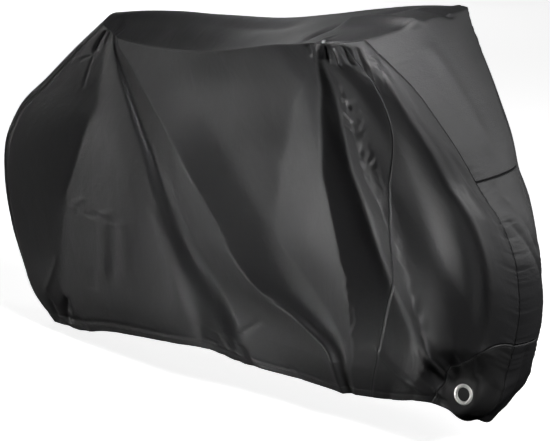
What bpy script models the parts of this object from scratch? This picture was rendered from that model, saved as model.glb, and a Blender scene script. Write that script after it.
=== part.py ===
"""Fitted bicycle cover: a coated cloth shell that hangs from a saddle and a handlebar.

The shell is two side panels and a centre strip, sewn edge to edge. The centre strip runs
from the rear hem over the saddle and the handlebar and down round the front wheel. Two
reinforced corners at the front hem carry metal eyelets for a lock.

+X is the front of the bicycle, -Y its right side and +Z up. The origin is under the top of
the cover, where the saddle holds it up. The tables give heights above the ground and
distances ahead of the rear axle, and SADDLE_POINT moves them to that origin.
"""

import math

import bmesh
import bpy
import numpy as np
from mathutils import Matrix, Vector

# ---------------------------------------------------------------- driving sizes, in metres
SADDLE_POINT = (0.150, 0.0, 0.986)   # under the cloth, on top of the saddle
SHEET = 0.0016                       # coated cloth with its folded seams
SEAM_GAP = 0.00065                   # between two panels that are sewn together
PANEL_LENGTH = 1.30                  # cloth from the rear seam to the front seam
PANEL_DROP = 1.00                    # cloth from the top seam to the hem
SEAM_REACH = 0.045                   # how far a side panel's fold runs on into the strip

UPPER_ROWS = 20                      # cells down to the top of the corner patch
LOWER_ROWS = 6                       # from there to the hem
STRIP_CELLS = 6                      # across the centre strip

PATCH_TOP = 0.80                     # share of the drop where the patch starts at the front
PATCH_TOP_REAR = 0.90                # and along the rest of the panel
CROSS_SEAM_ROW = 10                  # row of cells where the front strip is joined

EYELET_U, EYELET_V = 0.968, 0.953    # place of the eyelet, as shares along and down
EYELET_FACING = (-0.20, 0.89, 0.42)  # way it faces, outwards on the left side
TURN_CORE = 0.040                    # cloth that turns with it in full
TURN_REACH = 0.110                   # and where the turn has died away
EYELET_OUTER = 0.025                 # radius of the flanges
EYELET_HOLE = 0.0165                 # radius of the free opening
EYELET_WALL = 0.0012                 # metal of the barrel
EYELET_FLANGE = 0.0014               # metal of the flanges
EYELET_GAP = 0.0004                  # between the metal and the cloth
FLAT_RADIUS = 0.036                  # cloth pressed flat round the eyelet
FLAT_BLEND = 0.052                   # and where it follows the folds again
EYELET_STEPS = 32

# ------------------------------------------------------- outline of the right side panel
# Each row: share along the edge, x ahead of the rear axle, y, z above the ground.
REAR_EDGE = (      # from the saddle down round the rear wheel to the hem
    (0.00, 0.120, -0.070, 0.962),
    (0.13, 0.025, -0.070, 0.881),
    (0.30, -0.101, -0.070, 0.769),
    (0.46, -0.214, -0.074, 0.675),
    (0.58, -0.276, -0.074, 0.567),
    (0.68, -0.294, -0.070, 0.470),
    (0.78, -0.290, -0.066, 0.360),
    (0.88, -0.258, -0.068, 0.222),
    (0.95, -0.206, -0.076, 0.110),
    (1.00, -0.122, -0.082, 0.036),
)
TOP_EDGE = (       # from the saddle forward to the brake lever
    (0.00, 0.120, -0.070, 0.962),
    (0.12, 0.185, -0.092, 0.935),
    (0.27, 0.311, -0.108, 0.921),
    (0.42, 0.480, -0.145, 0.926),
    (0.58, 0.665, -0.215, 0.953),
    (0.74, 0.822, -0.262, 0.983),
    (0.86, 0.940, -0.325, 1.002),
    (0.91, 0.995, -0.345, 1.012),
    (0.96, 1.045, -0.318, 1.013),
    (1.00, 1.072, -0.270, 1.014),
)
FRONT_EDGE = (     # from the brake lever down round the front wheel to the nose
    (0.00, 1.072, -0.270, 1.014),
    (0.07, 1.106, -0.235, 0.969),
    (0.14, 1.151, -0.200, 0.914),
    (0.25, 1.205, -0.155, 0.823),
    (0.33, 1.243, -0.125, 0.753),
    (0.41, 1.279, -0.100, 0.679),
    (0.52, 1.344, -0.085, 0.584),
    (0.66, 1.384, -0.080, 0.447),
    (0.81, 1.374, -0.070, 0.295),
    (0.92, 1.340, -0.068, 0.170),
    (1.00, 1.292, -0.055, 0.086),
)
HEM_EDGE = (       # from the rear hem forward to the nose
    (0.00, -0.122, -0.082, 0.036),
    (0.06, 0.002, -0.100, 0.041),
    (0.15, 0.119, -0.115, 0.070),
    (0.25, 0.250, -0.130, 0.091),
    (0.36, 0.400, -0.145, 0.109),
    (0.46, 0.545, -0.160, 0.127),
    (0.53, 0.647, -0.145, 0.103),
    (0.64, 0.800, -0.125, 0.097),
    (0.75, 0.942, -0.110, 0.095),
    (0.85, 1.078, -0.120, 0.110),
    (0.94, 1.215, -0.138, 0.139),
    (0.975, 1.265, -0.122, 0.128),
    (1.00, 1.292, -0.055, 0.086),
)
# How the left panel's edges differ from the mirrored right ones, because the handlebar is
# turned a little: share along the edge, x, z.
LEFT_TOP_SHIFT = ((0.0, 0.0, 0.0), (0.80, 0.0, 0.0), (1.0, -0.022, 0.019))
LEFT_FRONT_SHIFT = (
    (0.00, -0.022, 0.019),
    (0.14, -0.014, 0.006),
    (0.25, 0.000, 0.000),
    (0.37, 0.010, 0.000),
    (0.52, -0.010, 0.000),
    (0.66, -0.018, 0.000),
    (0.81, 0.000, 0.000),
    (0.92, 0.008, 0.000),
    (1.00, -0.004, 0.000),
)
LEFT_HEM_SHIFT = ((0.0, 0.0, 0.0), (0.9, 0.0, 0.0), (1.0, -0.004, 0.0))

# ------------------------------------------------------------ middle of the centre strip
# Each row: share along the edge beside it, x, z.
REAR_CREST = (
    (0.00, 0.105, 0.985),
    (0.13, -0.010, 0.899),
    (0.30, -0.147, 0.787),
    (0.46, -0.268, 0.685),
    (0.58, -0.332, 0.580),
    (0.68, -0.350, 0.470),
    (0.78, -0.342, 0.345),
    (0.88, -0.303, 0.205),
    (0.95, -0.240, 0.100),
    (1.00, -0.168, 0.030),
)
TOP_CREST = (
    (0.00, 0.105, 0.985),
    (0.12, 0.190, 0.995),
    (0.27, 0.315, 1.003),
    (0.42, 0.480, 1.006),
    (0.58, 0.660, 1.008),
    (0.74, 0.820, 1.028),
    (0.86, 0.940, 1.047),
    (0.91, 1.000, 1.054),
    (0.96, 1.055, 1.052),
    (1.00, 1.098, 1.038),
)
FRONT_CREST = (
    (0.00, 1.098, 1.038),
    (0.07, 1.133, 0.985),
    (0.14, 1.170, 0.925),
    (0.25, 1.222, 0.830),
    (0.33, 1.262, 0.757),
    (0.41, 1.300, 0.682),
    (0.52, 1.360, 0.585),
    (0.66, 1.401, 0.447),
    (0.81, 1.400, 0.295),
    (0.92, 1.364, 0.165),
    (1.00, 1.300, 0.066),
)
CROWN = {"rear": 2.2, "top": 1.6, "front": 2.0}   # how round each run is across

# ----------------------------------------------------------------------- lines of the grid
# The columns of a side panel's grid fan out from the saddle and the handlebar along the
# main folds. Each row: cells from the line before, then the line's share along the panel
# at 0, 1/4, 1/2, 3/4 and all of the drop.
COLUMN_LINES = (
    (0, 0.000, 0.000, 0.000, 0.000, 0.000),
    (3, 0.030, 0.100, 0.128, 0.125, 0.110),     # trough under the saddle's back
    (4, 0.075, 0.190, 0.246, 0.248, 0.180),     # ridge under the saddle
    (4, 0.120, 0.245, 0.350, 0.440, 0.515),     # long crease
    (3, 0.155, 0.305, 0.425, 0.500, 0.545),     # ridge beside it
    (4, 0.250, 0.395, 0.480, 0.535, 0.580),     # trough ahead of it
    (4, 0.450, 0.490, 0.530, 0.580, 0.630),
    (7, 0.904, 0.800, 0.732, 0.735, 0.757),     # ridge under the handlebar grip
    (3, 0.918, 0.826, 0.764, 0.780, 0.790),     # trough ahead of it
    (5, 0.960, 0.922, 0.842, 0.815, 0.815),     # seam between the two side panels
    (5, 0.986, 0.946, 0.925, 0.935, 0.930),     # roll under the brake lever, corner patch
    (5, 1.000, 1.000, 1.000, 1.000, 1.000),
)
FRONT_PANEL_LINE = 9                 # row of the table where the front side panel starts
PATCH_LINE = 10                      # and where the corner patch starts

# ------------------------------------------------------------------------- folds and swells
# Swells of a side panel: share along, share down, reach along, reach down, height.
SWELLS = (
    (0.45, 0.72, 0.22, 0.22, 0.018),     # pedal
    (0.12, 0.62, 0.12, 0.25, 0.012),     # rear wheel and carrier
    (0.70, 0.55, 0.14, 0.35, -0.014),    # hollow behind the handlebar
    (0.30, 0.25, 0.14, 0.18, -0.008),    # hollow ahead of the saddle
)
# Folds of the right panel. Each row: start along, start down, end along, end down, sideways
# bow of the line, half width at the start and the end, skew of the flanks, height, edge.
# The edge is 1 for a crease and 2 for a round fold. A negative height is a trough.
RIGHT_FOLDS = (
    (0.030, 0.000, 0.118, 0.720, 0.054, 0.013, 0.030, 1.0, -0.020, 1.3),
    (0.022, 0.160, 0.072, 0.112, 0.000, 0.009, 0.009, 1.0, -0.005, 1.5),
    (0.075, -0.01, 0.200, 0.920, 0.118, 0.026, 0.080, 1.0, 0.024, 1.7),
    (0.120, 0.000, 0.510, 0.985, 0.037, 0.010, 0.024, 0.7, -0.020, 1.2),
    (0.155, -0.01, 0.540, 0.960, 0.092, 0.016, 0.050, 0.8, 0.026, 1.4),
    (0.250, 0.020, 0.575, 0.920, 0.060, 0.022, 0.046, 1.2, -0.020, 1.6),
    (0.440, 0.020, 0.600, 0.820, 0.000, 0.060, 0.100, 1.0, 0.014, 2.0),
    (0.575, 0.825, 0.735, 0.975, -0.028, 0.011, 0.018, 1.0, -0.009, 1.3),
    (0.540, 0.930, 0.590, 0.872, 0.000, 0.010, 0.010, 1.0, -0.005, 1.4),
    (0.904, -0.01, 0.757, 0.930, -0.112, 0.020, 0.056, 0.45, 0.034, 1.4),
    (0.918, 0.020, 0.840, 0.930, -0.122, 0.013, 0.044, 1.0, -0.026, 1.5),
    (0.865, 0.070, 0.830, 0.270, 0.000, 0.009, 0.009, 1.0, 0.006, 1.3),
    (0.845, 0.200, 0.965, 0.990, -0.135, 0.012, 0.022, 0.8, 0.020, 1.3),
    (0.984, 0.010, 0.965, 0.820, -0.055, 0.016, 0.042, 1.1, 0.028, 1.7),
    (0.995, 0.050, 1.000, 0.680, -0.050, 0.012, 0.022, 1.0, -0.016, 1.4),
    (0.930, 0.760, 0.965, 0.930, 0.000, 0.010, 0.014, 1.0, -0.006, 1.4),
    (0.700, 0.900, 0.830, 0.990, 0.000, 0.010, 0.018, 1.0, 0.006, 1.4),
)
LEFT_FOLDS = (
    (0.030, 0.000, 0.115, 0.660, 0.048, 0.013, 0.030, 1.0, -0.018, 1.3),
    (0.078, -0.01, 0.210, 0.900, 0.105, 0.026, 0.076, 1.0, 0.022, 1.7),
    (0.122, 0.000, 0.480, 0.950, 0.040, 0.011, 0.026, 0.8, -0.017, 1.3),
    (0.160, -0.01, 0.520, 0.970, 0.080, 0.016, 0.052, 0.9, 0.022, 1.5),
    (0.270, 0.030, 0.590, 0.880, 0.055, 0.022, 0.050, 1.1, -0.018, 1.7),
    (0.470, 0.010, 0.630, 0.860, 0.000, 0.060, 0.095, 1.0, 0.014, 2.0),
    (0.600, 0.780, 0.700, 0.960, -0.020, 0.011, 0.018, 1.0, -0.007, 1.4),
    (0.904, -0.01, 0.750, 0.880, -0.105, 0.020, 0.054, 0.55, 0.030, 1.5),
    (0.918, 0.020, 0.830, 0.950, -0.115, 0.014, 0.046, 1.0, -0.023, 1.5),
    (0.880, 0.160, 0.960, 0.980, -0.110, 0.013, 0.024, 0.9, 0.017, 1.4),
    (0.978, 0.100, 0.960, 0.780, -0.040, 0.016, 0.038, 1.1, 0.016, 1.7),
)
# Gathers that the elastic draws in at the hem: share along, half width, depth, length.
HEM_GATHERS = (
    (0.030, 0.010, 0.006, 0.10),
    (0.075, 0.012, 0.008, 0.13),
    (0.125, 0.012, 0.005, 0.09),
    (0.190, 0.014, 0.005, 0.08),
    (0.265, 0.014, 0.005, 0.09),
    (0.345, 0.014, 0.005, 0.08),
    (0.415, 0.012, 0.007, 0.10),
    (0.458, 0.012, 0.010, 0.13),
    (0.495, 0.012, 0.011, 0.14),
    (0.532, 0.012, 0.010, 0.12),
    (0.580, 0.013, 0.006, 0.09),
    (0.650, 0.014, 0.005, 0.08),
    (0.760, 0.014, 0.005, 0.09),
    (0.850, 0.012, 0.006, 0.09),
    (0.895, 0.010, 0.009, 0.12),
    (0.925, 0.009, 0.010, 0.12),
)
# Folds of the centre strip. The run is 0 at the rear hem, 1 at the saddle, 2 at the brake
# levers and 3 at the nose; across is -1 at the right seam and 1 at the left one. Each row:
# start run, start across, end run, end across, half width, height, edge.
STRIP_FOLDS = (
    (1.04, -0.75, 1.34, -0.62, 0.024, -0.012, 1.6),
    (1.04, 0.70, 1.36, 0.60, 0.024, -0.011, 1.6),
    (1.30, -0.35, 1.75, -0.45, 0.040, -0.008, 1.8),
    (1.34, 0.45, 1.72, 0.40, 0.040, -0.007, 1.8),
    (1.88, -0.62, 2.02, -0.30, 0.030, 0.016, 1.8),
    (1.84, -0.95, 1.95, 0.10, 0.022, -0.014, 1.4),
    (1.95, 0.10, 2.02, 0.55, 0.020, -0.010, 1.4),
    (1.92, 0.55, 2.00, 0.35, 0.024, 0.010, 1.6),
    (2.03, -0.40, 2.38, -0.10, 0.030, 0.005, 1.8),
    (2.40, -0.60, 2.62, 0.40, 0.014, -0.004, 1.4),
    (2.48, -0.90, 2.70, 0.60, 0.014, -0.004, 1.4),
    (2.80, -0.50, 2.97, -0.20, 0.014, -0.006, 1.4),
    (2.78, 0.40, 2.97, 0.20, 0.014, -0.006, 1.4),
    (0.10, -0.40, 0.50, -0.30, 0.026, 0.005, 1.8),
    (0.03, 0.30, 0.20, 0.30, 0.014, -0.006, 1.5),
    (0.03, -0.30, 0.18, -0.35, 0.014, -0.006, 1.5),
)

CLOTH = ("coated_polyester", (0.030, 0.030, 0.031, 1.0), 0.42, 0.0)
PATCH_CLOTH = ("patch_polyester", (0.026, 0.026, 0.027, 1.0), 0.48, 0.0)
METAL = ("nickel_plate", (0.86, 0.86, 0.85, 1.0), 0.22, 1.0)


# --------------------------------------------------------------------- curves and profiles
def spline(rows, share):
    """Smooth curve through the rows of a table, read at each share."""
    knot = np.array([row[0] for row in rows], float)
    value = np.array([row[1:] for row in rows], float)
    step = np.diff(knot)
    slope = np.diff(value, axis=0) / step[:, None]
    tangent = np.empty_like(value)
    tangent[0], tangent[-1] = slope[0], slope[-1]
    tangent[1:-1] = (slope[:-1] * step[1:, None] + slope[1:] * step[:-1, None]) / (
        step[1:] + step[:-1]
    )[:, None]
    share = np.clip(np.asarray(share, float), knot[0], knot[-1])
    index = np.clip(np.searchsorted(knot, share, side="right") - 1, 0, len(knot) - 2)
    length = (knot[index + 1] - knot[index])[..., None]
    s = ((share - knot[index]) / (knot[index + 1] - knot[index]))[..., None]
    return (
        (2 * s**3 - 3 * s**2 + 1) * value[index]
        + (s**3 - 2 * s**2 + s) * length * tangent[index]
        + (3 * s**2 - 2 * s**3) * value[index + 1]
        + (s**3 - s**2) * length * tangent[index + 1]
    )


def smooth(x):
    """0 below 0, 1 above 1 and a smooth rise between."""
    x = np.clip(x, 0.0, 1.0)
    return x * x * (3 - 2 * x)


def panel_edge(rows, side, shift=None):
    """An edge of the right panel (side -1) or of the left one (side 1), as a curve."""

    def edge(share):
        point = spline(rows, share)
        if side > 0:
            point = point * np.array([1.0, -1.0, 1.0])
            if shift:
                point[..., [0, 2]] += spline(shift, share)
        return point

    return edge


def panel_edges(side):
    return {
        "top": panel_edge(TOP_EDGE, side, LEFT_TOP_SHIFT),
        "front": panel_edge(FRONT_EDGE, side, LEFT_FRONT_SHIFT),
        "rear": panel_edge(REAR_EDGE, side),
        "hem": panel_edge(HEM_EDGE, side, LEFT_HEM_SHIFT),
    }


def side_point(edges, u, v):
    """Point of a side panel, blended from its four edges (a Coons patch)."""
    top, hem, rear, front = edges["top"](u), edges["hem"](u), edges["rear"](v), edges["front"](v)
    ends = np.array([0.0, 1.0])
    top_rear, top_front = edges["top"](ends)
    hem_rear, hem_front = edges["hem"](ends)
    u, v = u[..., None], v[..., None]
    return (
        (1 - v) * top + v * hem + (1 - u) * rear + u * front
        - (1 - u) * (1 - v) * top_rear - u * (1 - v) * top_front
        - (1 - u) * v * hem_rear - u * v * hem_front
    )


def fold_height(rows, along, down):
    """Height of all folds in the rows, at places in metres of cloth on the flat panel."""
    total = np.zeros(along.shape)
    for u0, v0, u1, v1, bow, width0, width1, skew, height, edge in rows:
        start = np.array([u0 * PANEL_LENGTH, v0 * PANEL_DROP])
        end = np.array([u1 * PANEL_LENGTH, v1 * PANEL_DROP])
        run = np.linalg.norm(end - start)
        way = (end - start) / run
        s = ((along - start[0]) * way[0] + (down - start[1]) * way[1]) / run
        inside = np.clip(s, 0.0, 1.0)
        off = (along - start[0]) * way[1] - (down - start[1]) * way[0]
        off = off - bow * 4 * inside * (1 - inside)
        spread = width0 + (width1 - width0) * inside
        width = spread * np.where(off > 0, skew, 1.0)
        beyond = np.maximum(np.abs(s - 0.5) - 0.5, 0.0) * run
        fade = smooth((1 - s) / 0.22) * smooth(0.25 + s / 0.16)
        fade = fade * (spread / width1) ** 0.7 * np.exp(-((beyond / 0.02) ** 2))
        total += height * fade * np.exp(-np.abs(off / width) ** edge)
    return total


def swell_height(along, down):
    total = np.zeros(along.shape)
    for u, v, reach_u, reach_v, height in SWELLS:
        total += height * np.exp(
            -((along / PANEL_LENGTH - u) / reach_u) ** 2 - ((down / PANEL_DROP - v) / reach_v) ** 2
        )
    return total


def gather_height(along, down):
    total = np.zeros(along.shape)
    for u, width, depth, length in HEM_GATHERS:
        rise = smooth(1 - (PANEL_DROP - down) / length)
        total -= depth * rise * np.exp(-np.abs((along - u * PANEL_LENGTH) / width) ** 1.6)
    return total


def strip_height(run, across, half_width):
    """Height of the centre strip's folds; lengths across are in metres from the middle."""
    total = np.zeros(run.shape)
    y = across * half_width
    for t0, w0, t1, w1, width, height, edge in STRIP_FOLDS:
        s = (run - t0) / (t1 - t0)
        inside = np.clip(s, 0.0, 1.0)
        middle = (w0 + (w1 - w0) * inside) * half_width
        slant = math.hypot(1.0, (w1 - w0) * 0.12 / (t1 - t0))
        off = (y - middle) / slant
        fade = smooth(s / 0.2) * smooth((1 - s) / 0.2)
        total += height * fade * np.exp(-np.abs(off / width) ** edge)
    return total


# ------------------------------------------------------------------- grid lines of the skin
def column_count(line):
    """Cells between the rear seam and a line of the table."""
    return sum(row[0] for row in COLUMN_LINES[: line + 1])


def panel_grid():
    """Shares along and down for each point of a side panel's grid."""
    columns = column_count(len(COLUMN_LINES) - 1)
    knots = [column_count(line) for line in range(len(COLUMN_LINES))]
    upper = np.linspace(0.0, PATCH_TOP, UPPER_ROWS + 1)
    lower = np.linspace(PATCH_TOP, 1.0, LOWER_ROWS + 1)
    column, row = np.meshgrid(
        np.arange(columns + 1.0), np.concatenate([upper, lower[1:]]), indexing="ij"
    )
    corner = smooth((columns - column) / COLUMN_LINES[-1][0])
    top = PATCH_TOP + (PATCH_TOP_REAR - PATCH_TOP) * corner
    v = np.where(
        row <= PATCH_TOP, row / PATCH_TOP * top, 1 - (1 - row) / (1 - PATCH_TOP) * (1 - top)
    )
    drops = np.linspace(0.0, 1.0, len(COLUMN_LINES[0]) - 1)
    lines = [spline(list(zip(drops, line[1:])), v)[..., 0] for line in COLUMN_LINES]
    u = np.empty(v.shape)
    for i in range(columns + 1):
        before = max(n for n, knot in enumerate(knots[:-1]) if knot <= i)
        share = (i - knots[before]) / (knots[before + 1] - knots[before])
        u[i] = lines[before][i] * (1 - share) + lines[before + 1][i] * share
    return u, v


# ------------------------------------------------------------------------ the welded skin
def strip_section(rights, lefts, crest, crown, across):
    """Points across the strip between its two seams, over its middle."""
    middle = (rights + lefts) / 2
    point = rights + (lefts - rights) * ((across + 1) / 2)[:, None]
    lift = crest - middle
    return point + lift * (1 - np.abs(across) ** crown)[:, None]


def base_points():
    """The smooth shell: grids of points of the two panels and of the strip."""
    u, v = panel_grid()
    panels = {side: side_point(panel_edges(side), u, v) for side in (-1, 1)}
    across = np.linspace(-1.0, 1.0, STRIP_CELLS + 1)
    runs = (
        ("rear", REAR_CREST, v[0, ::-1], [(0, j) for j in range(v.shape[1] - 1, -1, -1)]),
        ("top", TOP_CREST, u[:, 0], [(i, 0) for i in range(u.shape[0])]),
        ("front", FRONT_CREST, v[-1, :], [(u.shape[0] - 1, j) for j in range(v.shape[1])]),
    )
    sections, marks = [], []
    for number, (name, crest_rows, shares, cells) in enumerate(runs):
        crest = spline(crest_rows, shares)
        for index, (share, cell) in enumerate(zip(shares, cells)):
            if number and index == 0:
                continue
            right, left = panels[-1][cell], panels[1][cell]
            top = np.array([crest[index, 0], (right[1] + left[1]) / 2, crest[index, 1]])
            sections.append(strip_section(right, left, top, CROWN[name], across))
            marks.append((name, number + (1 - share if name == "rear" else share), cell))
    return u, v, panels, np.array(sections), marks, across


def build_skin():
    """One welded mesh of the whole shell, with its folds, as a bmesh.

    Returns the bmesh, and the name of the panel that each face belongs to.
    """
    u, v, panels, sections, marks, across = base_points()
    skin = bmesh.new()
    side_verts, height = {}, {}
    along, down = u * PANEL_LENGTH, v * PANEL_DROP
    for side, rows in ((-1, RIGHT_FOLDS), (1, LEFT_FOLDS)):
        lift = fold_height(rows, along, down) + gather_height(along, down)
        inner = smooth(u / 0.06) * smooth((1 - u) / 0.06) * smooth(v / 0.08) * smooth((1 - v) / 0.10)
        lift = lift + swell_height(along, down) * inner
        grid = [[skin.verts.new(panels[side][i, j]) for j in range(u.shape[1])] for i in range(u.shape[0])]
        side_verts[side] = grid
        for i in range(u.shape[0]):
            for j in range(u.shape[1]):
                height[grid[i][j]] = lift[i, j]

    strip_verts = []
    for number, (name, run, cell) in enumerate(marks):
        i, j = cell
        half_width = np.linalg.norm(sections[number][0] - sections[number][-1]) / 2
        line = []
        own = strip_height(np.full(across.shape, run), across, half_width)
        for k, w in enumerate(across):
            if k == 0 or k == len(across) - 1:
                line.append(side_verts[-1 if k == 0 else 1][i][j])
                continue
            vert = skin.verts.new(sections[number][k])
            side = -1 if w < 0 else 1
            reach = (1 - abs(w)) * half_width
            seam_height = height[side_verts[side][i][j]]
            height[vert] = own[k] + seam_height * math.exp(-((reach / SEAM_REACH) ** 2))
            line.append(vert)
        strip_verts.append(line)

    panel_of = {}
    for side in (-1, 1):
        grid = side_verts[side]
        hand = "right" if side < 0 else "left"
        patch_column = column_count(PATCH_LINE)
        for i in range(len(grid) - 1):
            for j in range(len(grid[0]) - 1):
                quad = [grid[i][j], grid[i][j + 1], grid[i + 1][j + 1], grid[i + 1][j]]
                face = skin.faces.new(quad if side < 0 else quad[::-1])
                if i >= patch_column and j >= UPPER_ROWS:
                    panel_of[face] = "lock_patch_" + hand
                elif i >= column_count(FRONT_PANEL_LINE):
                    panel_of[face] = "side_front_" + hand
                else:
                    panel_of[face] = "side_main_" + hand
    rows = UPPER_ROWS + LOWER_ROWS
    columns = column_count(len(COLUMN_LINES) - 1)
    cross_seam = rows + columns + CROSS_SEAM_ROW
    nose_seam = rows + columns + UPPER_ROWS
    for n in range(len(strip_verts) - 1):
        for k in range(STRIP_CELLS):
            a, b = strip_verts[n], strip_verts[n + 1]
            face = skin.faces.new([a[k], b[k], b[k + 1], a[k + 1]])
            if n < rows:
                panel_of[face] = "rear_strip"
            elif n < cross_seam:
                panel_of[face] = "top_strip"
            elif n < nose_seam:
                panel_of[face] = "front_strip"
            else:
                panel_of[face] = "nose_panel"

    skin.normal_update()
    normal = {vert: vert.normal.copy() for vert in skin.verts}
    for vert, lift in height.items():
        vert.co += normal[vert] * float(lift)
    skin.normal_update()
    for side in (-1, 1):
        turn_corner(skin, side)
    skin.normal_update()
    skin.verts.index_update()
    return skin, panel_of


def eyelet_place(verts, side):
    """Middle and outward normal of the cloth round the eyelet, among the vertices given."""
    place = side_point(panel_edges(side), np.array([EYELET_U]), np.array([EYELET_V]))[0]
    target = Vector(place)
    near = [vert for vert in verts if (vert.co - target).length < FLAT_BLEND]
    middle = sum((vert.co for vert in near), Vector()) / len(near)
    axis = sum((vert.normal for vert in near), Vector()).normalized()
    return target - axis * (target - middle).dot(axis), axis


def turn_corner(skin, side):
    """Turns the cloth round an eyelet, whose weight of metal and gathers twist the corner."""
    wing = [vert for vert in skin.verts if vert.co.y * side > 0]
    centre, axis = eyelet_place(wing, side)
    facing = Vector((EYELET_FACING[0], EYELET_FACING[1] * side, EYELET_FACING[2])).normalized()
    turn = axis.rotation_difference(facing)
    for vert in wing:
        radius = (vert.co - centre).length
        share = 1 - smooth((radius - TURN_CORE) / (TURN_REACH - TURN_CORE))
        part = turn.copy()
        part.angle = turn.angle * float(share)
        vert.co = centre + part @ (vert.co - centre)


# --------------------------------------------------------------------- panels of real cloth
def inset_border(mesh):
    """Draws the border of an open panel in by half the seam gap, along its own surface."""
    inward = {}
    for edge in mesh.edges:
        if len(edge.link_faces) != 1:
            continue
        face = edge.link_faces[0]
        way = (edge.verts[1].co - edge.verts[0].co).normalized()
        into = face.normal.cross(way)
        middle = (edge.verts[0].co + edge.verts[1].co) / 2
        if into.dot(face.calc_center_median() - middle) < 0:
            into.negate()
        for vert in edge.verts:
            inward.setdefault(vert, []).append(into)
    for vert, (first, second) in inward.items():
        vert.co += (first + second) * (SEAM_GAP / 2) / max(0.4, 1 + first.dot(second))


def cut_panel(faces):
    """Copies the faces into a bmesh of their own, with the skin's normals and order in layers."""
    panel = bmesh.new()
    skin_normal = panel.verts.layers.float_vector.new("skin_normal")
    skin_order = panel.verts.layers.int.new("skin_order")
    copy = {}
    for face in faces:
        for vert in face.verts:
            if vert not in copy:
                copy[vert] = panel.verts.new(vert.co)
                copy[vert][skin_normal] = vert.normal
                copy[vert][skin_order] = vert.index
        panel.faces.new([copy[vert] for vert in face.verts])
    panel.normal_update()
    inset_border(panel)
    return panel


def thicken(panel):
    """Gives an open panel its thickness, inwards, and closes its border.

    The cells are split first, so that both faces of the cloth bend along the same lines.
    The border's cells are split by the order of the skin, so that the two sides of a seam
    bend alike too.
    """
    bmesh.ops.triangulate(panel, faces=panel.faces[:], quad_method="SHORT_EDGE")
    skin_normal = panel.verts.layers.float_vector["skin_normal"]
    skin_order = panel.verts.layers.int["skin_order"]
    outer_faces = list(panel.faces)
    border = [edge for edge in panel.edges if len(edge.link_faces) == 1]
    inner = {}
    for vert in list(panel.verts):
        inner[vert] = panel.verts.new(vert.co - vert[skin_normal] * SHEET)
    for face in outer_faces:
        panel.faces.new([inner[vert] for vert in reversed(face.verts)])
    for edge in border:
        loop = edge.link_faces[0].loops[0]
        while loop.edge != edge:
            loop = loop.link_loop_next
        a, b = loop.vert, loop.link_loop_next.vert
        if a[skin_order] < b[skin_order]:
            panel.faces.new([b, a, inner[b]])
            panel.faces.new([a, inner[a], inner[b]])
        else:
            panel.faces.new([b, a, inner[a]])
            panel.faces.new([b, inner[a], inner[b]])
    panel.normal_update()


def press_flat(panel, centre, axis):
    """Makes the cloth finer and flat round the eyelet."""
    close = [f for f in panel.faces if (f.calc_center_median() - centre).length < FLAT_BLEND]
    inner = {e for f in close for e in f.edges if len(e.link_faces) == 2}
    inner = [e for e in inner if all(f in close for f in e.link_faces)]
    bmesh.ops.subdivide_edges(panel, edges=inner, cuts=2, use_grid_fill=True)
    border = {v for e in panel.edges if len(e.link_faces) == 1 for v in e.verts}
    for vert in panel.verts:
        if vert in border:
            continue
        off = vert.co - centre
        rise = off.dot(axis)
        radius = (off - axis * rise).length
        share = 1 - smooth((radius - FLAT_RADIUS) / (FLAT_BLEND - FLAT_RADIUS))
        vert.co -= axis * rise * float(share)
    panel.normal_update()
    skin_normal = panel.verts.layers.float_vector["skin_normal"]
    for vert in panel.verts:
        if vert not in border:
            vert[skin_normal] = vert.normal


# ------------------------------------------------------------------------ objects, materials
def material(name, colour, roughness, metallic):
    mat = bpy.data.materials.get(name) or bpy.data.materials.new(name)
    mat.use_nodes = True
    shader = mat.node_tree.nodes["Principled BSDF"]
    shader.inputs["Base Color"].default_value = colour
    shader.inputs["Roughness"].default_value = roughness
    shader.inputs["Metallic"].default_value = metallic
    mat.diffuse_color = colour
    return mat


def add_object(name, mesh_data, finish, parent):
    mesh = bpy.data.meshes.new(name)
    mesh_data.to_mesh(mesh)
    mesh_data.free()
    mesh.materials.append(material(*finish))
    mesh.shade_smooth()
    mesh.set_sharp_from_angle(angle=math.radians(40))
    obj = bpy.data.objects.new(name, mesh)
    bpy.context.scene.collection.objects.link(obj)
    obj.parent = parent
    return obj


def punch_hole(obj, centre, axis, parent):
    """Cuts the round hole for the eyelet's barrel through the patch."""
    cut = bmesh.new()
    radius = EYELET_HOLE + EYELET_WALL + EYELET_GAP
    bmesh.ops.create_cone(
        cut, cap_ends=True, segments=EYELET_STEPS, radius1=radius, radius2=radius, depth=0.02
    )
    turn = Vector((0, 0, 1)).rotation_difference(axis).to_matrix().to_4x4()
    bmesh.ops.transform(cut, matrix=Matrix.Translation(centre) @ turn, verts=cut.verts)
    cutter = add_object(obj.name + "_cutter", cut, METAL, parent)
    cutter.hide_render = True
    cutter.display_type = "WIRE"
    punch = obj.modifiers.new("eyelet hole", "BOOLEAN")
    punch.operation = "DIFFERENCE"
    punch.solver = "EXACT"
    punch.object = cutter


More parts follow.
